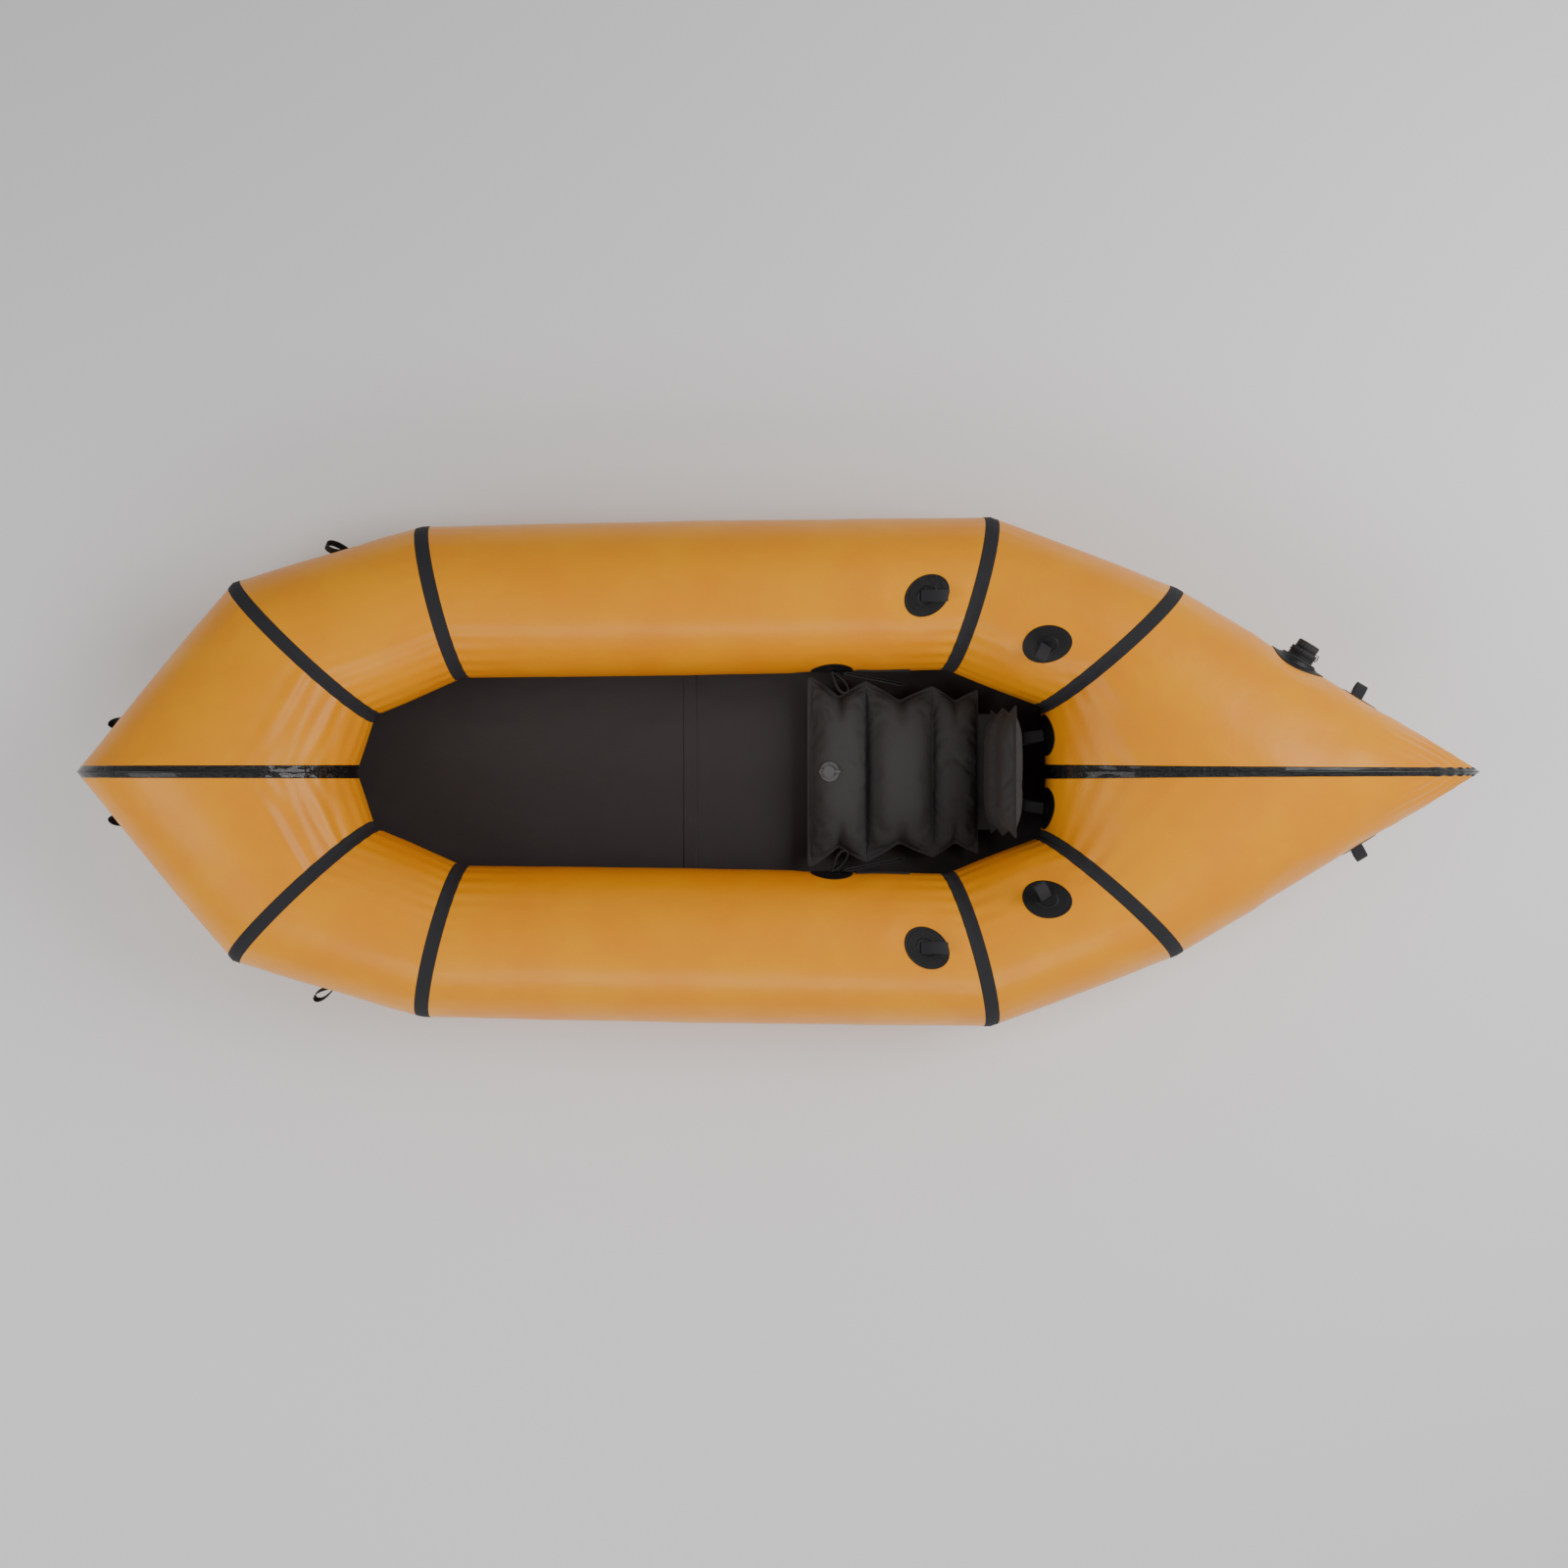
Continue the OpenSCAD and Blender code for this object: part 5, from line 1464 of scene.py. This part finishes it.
@dataclass
class InflationValve:
    """The screw valve on the stern's starboard side: patch, flange and neck, body, cap and its leash."""

    patch: float = 100 * MM
    patch_thick: float = 1.0 * MM
    patch_gap: float = 0.35 * MM
    bed_rise: float = 1.5 * MM
    flange: float = 62 * MM
    flange_thick: float = 3 * MM
    neck: float = 44 * MM
    neck_height: float = 13 * MM
    body: float = 33 * MM
    collar_height: float = 6 * MM
    body_neck: float = 11 * MM
    cap: float = 38 * MM
    skin: float = 0.15 * MM
    play: float = 0.4 * MM
    clear: float = 0.3 * MM

    def __post_init__(self) -> None:
        """Finds the valve's own axes: two across its seat and one outwards."""
        f = np.array(math.radians(VALVE_SPOT.f))
        s = np.array(VALVE_SPOT.s)
        n = FORM.normal(VALVE_SPOT.panel, s, f)
        t = unit(FORM.along(VALVE_SPOT.panel, f))
        seat = FORM.point(VALVE_SPOT.panel, s, f) + n * (self.patch_gap + self.patch_thick + self.bed_rise)
        self.seat = on_side(seat, Side.STARBOARD)
        self.axes = on_side(np.stack([t, np.cross(n, t), n]), Side.STARBOARD)
        self.origin = self.seat + self.skin * self.axes[2]
        self.cap_z = self.neck_height + self.collar_height + self.skin + self.play
        self.groove_z = self.cap_z + 1.4 * MM
        self.groove_r = self.body / 2 + self.clear + 1.1 * MM
        self.ring_thick = 1.6 * MM

    def build(self) -> None:
        """Builds every piece of the valve."""
        dress(make_piece("valve_patch_disc", self._patch()), PATCH_RUBBER, HULL, "valve_patch")
        dress(make_piece("valve_base_ring", self._base()), VALVE_PLASTIC, HULL, "valve_base")
        dress(make_piece("valve_body_tube", self._body()), VALVE_PLASTIC, HULL, "valve_body")
        dress(make_piece("valve_cap_shell", self._cap()), VALVE_PLASTIC, "valve_cap", "valve_cap")
        self._leash()

    def _turned(self, outline: list[tuple[float, float]], wave: Array | None = None,
                count: int = 96) -> Shell:
        """A turned part from an outline of radius and height in millimetres, with its corners eased.

        Args:
            outline: Corners of the closed outline.
            wave: Added radius as (outline corners, count).
            count: Points around.

        Returns:
            The part.
        """
        corners = np.array(outline)
        ahead, behind = np.roll(corners, -1, 0) - corners, np.roll(corners, 1, 0) - corners
        shorter = np.minimum(np.linalg.norm(ahead, axis=1), np.linalg.norm(behind, axis=1))
        ease = np.minimum(0.3, 0.35 * shorter)[:, None]
        a, b = corners + ease * unit(behind), corners + ease * unit(ahead)
        middle = (a + b) / 4 + corners / 2
        eased = np.stack([a, middle, b], 1).reshape(-1, 2) * MM
        wave3 = None if wave is None else np.repeat(wave, 3, axis=0)
        return lathe_shell(eased[:, 0], eased[:, 1], self.origin, self.axes, count, wave3)

    def _patch(self) -> Shell:
        """The fabric patch, which rises from the round tube to a flat bed under the flange."""
        bed = self.flange / 2 + 2 * MM
        edge = self.patch / 2
        a = (np.arange(96) * TURN / 96)[None, :]
        r_skirt = np.linspace(edge, bed + 4 * MM, 12)[:, None]
        lip = 1 - 0.8 * (1 - smooth(0, 1.4 * MM, edge - r_skirt))
        skirt = FORM.local(VALVE_SPOT, r_skirt * np.cos(a), r_skirt * np.sin(a),
                           self.patch_gap + self.patch_thick * lip + 0 * a)
        under_r = np.linspace(1 * MM, edge, 14)[:, None]
        under = FORM.local(VALVE_SPOT, under_r * np.cos(a), under_r * np.sin(a),
                           self.patch_gap + 0 * (under_r + a))
        axes = self.axes * np.array([1, -1, 1])
        seat = self.seat * np.array([1, -1, 1])
        r_bed = np.array([bed, bed - 2 * MM, bed / 2, 1 * MM])[:, None]
        flat = seat + (r_bed * np.cos(a))[..., None] * axes[0] + (r_bed * np.sin(a))[..., None] * axes[1]
        ease = np.linspace(0, 1, 6)[1:-1, None, None]
        rise = skirt[-1:] * (1 - ease) + flat[:1] * ease
        rings = np.concatenate([under, skirt, rise, flat])
        radii = np.linspace(0, edge, len(rings))[:, None]
        around = np.append(a, TURN)[None, :]
        uv = np.stack([radii * np.cos(around), radii * np.sin(around)], -1)
        return tube_shell(on_side(rings, Side.STARBOARD), uv, wrap=False, caps=True)

    def _base(self) -> Shell:
        """Flange and ribbed neck, bored through for the body."""
        r, bore, top = self.neck / 2 / MM, (self.body / 2 + self.clear) / MM, self.neck_height / MM
        edge, t = self.flange / 2 / MM, self.flange_thick / MM
        outline = [(bore, 0), (edge, 0), (edge, t * 0.6), (edge - 2.5, t), (r + 1.4, t)]
        for k in range(2):
            z = t + 1 + 3 * k
            outline += [(r, z), (r + 1.2, z + 0.75), (r + 1.2, z + 1.2), (r, z + 1.95)]
        return self._turned(outline + [(r, top), (bore, top)])

    def _body(self) -> Shell:
        """The screwed body: knurled collar and plain neck round an open bore with a floor."""
        r, collar = self.body / 2 / MM, self.neck / 2 / MM + 1
        low = (self.neck_height + self.skin) / MM
        high = low + self.collar_height / MM
        top = (self.neck_height + self.collar_height + self.body_neck) / MM
        outline = [(2.5, 0), (r, 0), (r, low), (collar, low), (collar, high), (r, high), (r, top),
                   (r - 3, top), (r - 3, 2), (2.5, 2)]
        a = np.arange(240) * TURN / 240
        knurl = -0.9 * MM * (0.5 + 0.5 * np.cos(24 * a)) ** 3
        wave = np.zeros((len(outline), 240))
        wave[3:5] = knurl
        return self._turned(outline, wave, 240)

    def _cap(self) -> Shell:
        """The cap: a low skirt, the leash ring's groove, and a ribbed grip under a slightly domed top."""
        base, groove = self.cap_z / MM, self.groove_r / MM
        inside = (self.neck_height + self.collar_height + self.body_neck + self.play) / MM
        top, r = inside + 3, self.cap / 2 / MM
        grip = (self.groove_z + self.ring_thick + self.play) / MM
        bore = (self.body / 2 + self.clear) / MM
        outline = [(bore, base), (r, base), (r, base + 1), (groove, base + 1), (groove, grip), (r, grip),
                   (r, top - 1.2), (r - 1.6, top), (r - 6, top), (r - 7, top - 0.9), (0.4, top - 0.9),
                   (0.4, inside), (bore, inside)]
        a = np.arange(216) * TURN / 216
        ribs = -1.1 * MM * np.clip(np.cos(18 * a), 0, 1) ** 2
        wave = np.zeros((len(outline), 216))
        wave[5:7] = ribs
        wave[7] = ribs * 0.4
        return self._turned(outline, wave, 216)

    def _flat_ring(self, inner: float, outer: float, z: float) -> Shell:
        """A flat rubber ring between two radii, standing on a height, all in millimetres."""
        top = z + self.ring_thick / MM
        return self._turned([(inner, z), (outer, z), (outer, top), (inner, top)])

    def _leash(self) -> None:
        """The rubber leash: a collar round the neck, a strap that curves up from the collar to the ring, and its
        ring.
        """
        z = (self.neck_height - 2.2 * MM) / MM
        inner = (self.neck / 2 + self.skin) / MM
        collar = self._flat_ring(inner, inner + 2.4, z)
        ring_z = self.groove_z / MM
        ring_in, ring_out = (self.groove_r + self.clear) / MM, (self.cap / 2 + 0.6 * MM) / MM
        ring = self._flat_ring(ring_in, ring_out, ring_z)
        dress(make_piece("cap_leash_ring", ring), VALVE_RUBBER, "cap_ring", "cap_ring")
        dress(make_piece("cap_leash_collar", collar), VALVE_RUBBER, HULL, "cap_leash")
        reach = self.cap / 2 + 5 * MM
        low, high = (z + 0.8) * MM, self.groove_z + 0.8 * MM
        t = np.linspace(0, np.pi, 22)
        bow = 1.4 * MM
        start_r = self.neck / 2 + 1.0 * MM
        out = np.concatenate([np.linspace(start_r, reach, 6)[:-1], reach + bow * np.sin(t),
                              np.linspace(reach, ring_out * MM - 0.4 * MM, 6)[1:]])
        up = np.concatenate([np.full(5, low), low + (high - low) * (1 - np.cos(t)) / 2, np.full(5, high)])
        path = self.origin + out[:, None] * self.axes[0] + up[:, None] * self.axes[2]
        strap = make_piece("cap_leash_strap", ribbon_shell(path, self.axes[1], 6 * MM, 1.4 * MM, closed=False))
        dress(strap, VALVE_RUBBER, None, "cap_leash")
        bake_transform(strap)


# ---------------------------------------------------------------- scene
@dataclass
class Studio:
    """The camera straight overhead, plain soft lights and a pale floor."""

    eye: tuple[float, float, float] = (0.128, 0.0, 2.95)
    focal: float = 1609 / 1600
    shift: tuple[float, float] = (87 / 1600, -12.5 / 1600)

    def camera(self) -> None:
        """Creates the camera: looking straight down, with the bow to the left."""
        data = bpy.data.cameras.new("overhead")
        data.sensor_width = 36.0
        data.lens = 36.0 * self.focal
        data.shift_x, data.shift_y = self.shift
        camera = bpy.data.objects.new("overhead", data)
        camera.location = self.eye
        camera.rotation_euler = (0, 0, math.pi)
        bpy.context.collection.objects.link(camera)
        bpy.context.scene.camera = camera

    def lights(self) -> None:
        """Three broad area lights and an even pale sky."""
        for name, place, size, power in (("stern_softbox", (-2.4, -0.6, 2.4), (2.0, 2.0), 70.0),
                                         ("bow_softbox", (2.6, 0.9, 2.4), (2.0, 2.0), 34.0),
                                         ("port_softbox", (0.0, 2.6, 2.4), (3.0, 1.0), 30.0)):
            data = bpy.data.lights.new(name, "AREA")
            data.shape = "RECTANGLE"
            data.size, data.size_y = size
            data.energy = power
            light = bpy.data.objects.new(name, data)
            light.location = place
            aim = np.array(place)
            light.rotation_euler = (math.atan2(math.hypot(aim[0], aim[1]), aim[2]), 0,
                                    math.atan2(aim[1], aim[0]) + math.pi / 2)
            bpy.context.collection.objects.link(light)
        world = bpy.data.worlds.new("pale_sky")
        world.use_nodes = True
        world.node_tree.nodes["Background"].inputs[0].default_value = (1.0, 1.0, 1.0, 1.0)
        world.node_tree.nodes["Background"].inputs[1].default_value = 0.30
        bpy.context.scene.world = world

    def ground(self) -> None:
        """A plain pale floor just under the boat."""
        half = 6.0
        mesh = bpy.data.meshes.new("studio_floor")
        corners = [(-half, -half, 0), (half, -half, 0), (half, half, 0), (-half, half, 0)]
        mesh.from_pydata(corners, [], [(0, 1, 2, 3)])
        ground = bpy.data.objects.new("studio_floor", mesh)
        ground.location.z = CAD_BOX[0][2] - 0.5 * MM
        material = bpy.data.materials.new("studio_floor")
        material.use_nodes = True
        shader = material.node_tree.nodes["Principled BSDF"]
        shader.inputs["Base Color"].default_value = (0.93, 0.93, 0.93, 1)
        shader.inputs["Roughness"].default_value = 0.9
        shader.inputs["Specular IOR Level"].default_value = 0.1
        mesh.materials.append(material)
        bpy.context.collection.objects.link(ground)


def finish_cad_nodes() -> None:
    """Gives the CAD nodes that stay their own finishes."""
    for name, finish in (("seat_valve_stem", SEAT_VALVE_PLASTIC), ("seat_valve_plug", SEAT_VALVE_PLASTIC),
                         ("valve_diaphragm", VALVE_RUBBER)):
        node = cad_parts[name]
        node.data.materials.clear()
        node.data.materials.append(finish.material())


def main() -> None:
    """Builds the whole scene."""
    logging.basicConfig(level=logging.INFO, format="%(message)s")
    studio = Studio()
    studio.camera()
    TubePanels().build()
    SeamTapes().build()
    Floor().build()
    Seat().build()
    Lashings().build()
    InflationValve().build()
    finish_cad_nodes()
    studio.lights()
    studio.ground()


if __name__ == "__main__":
    main()
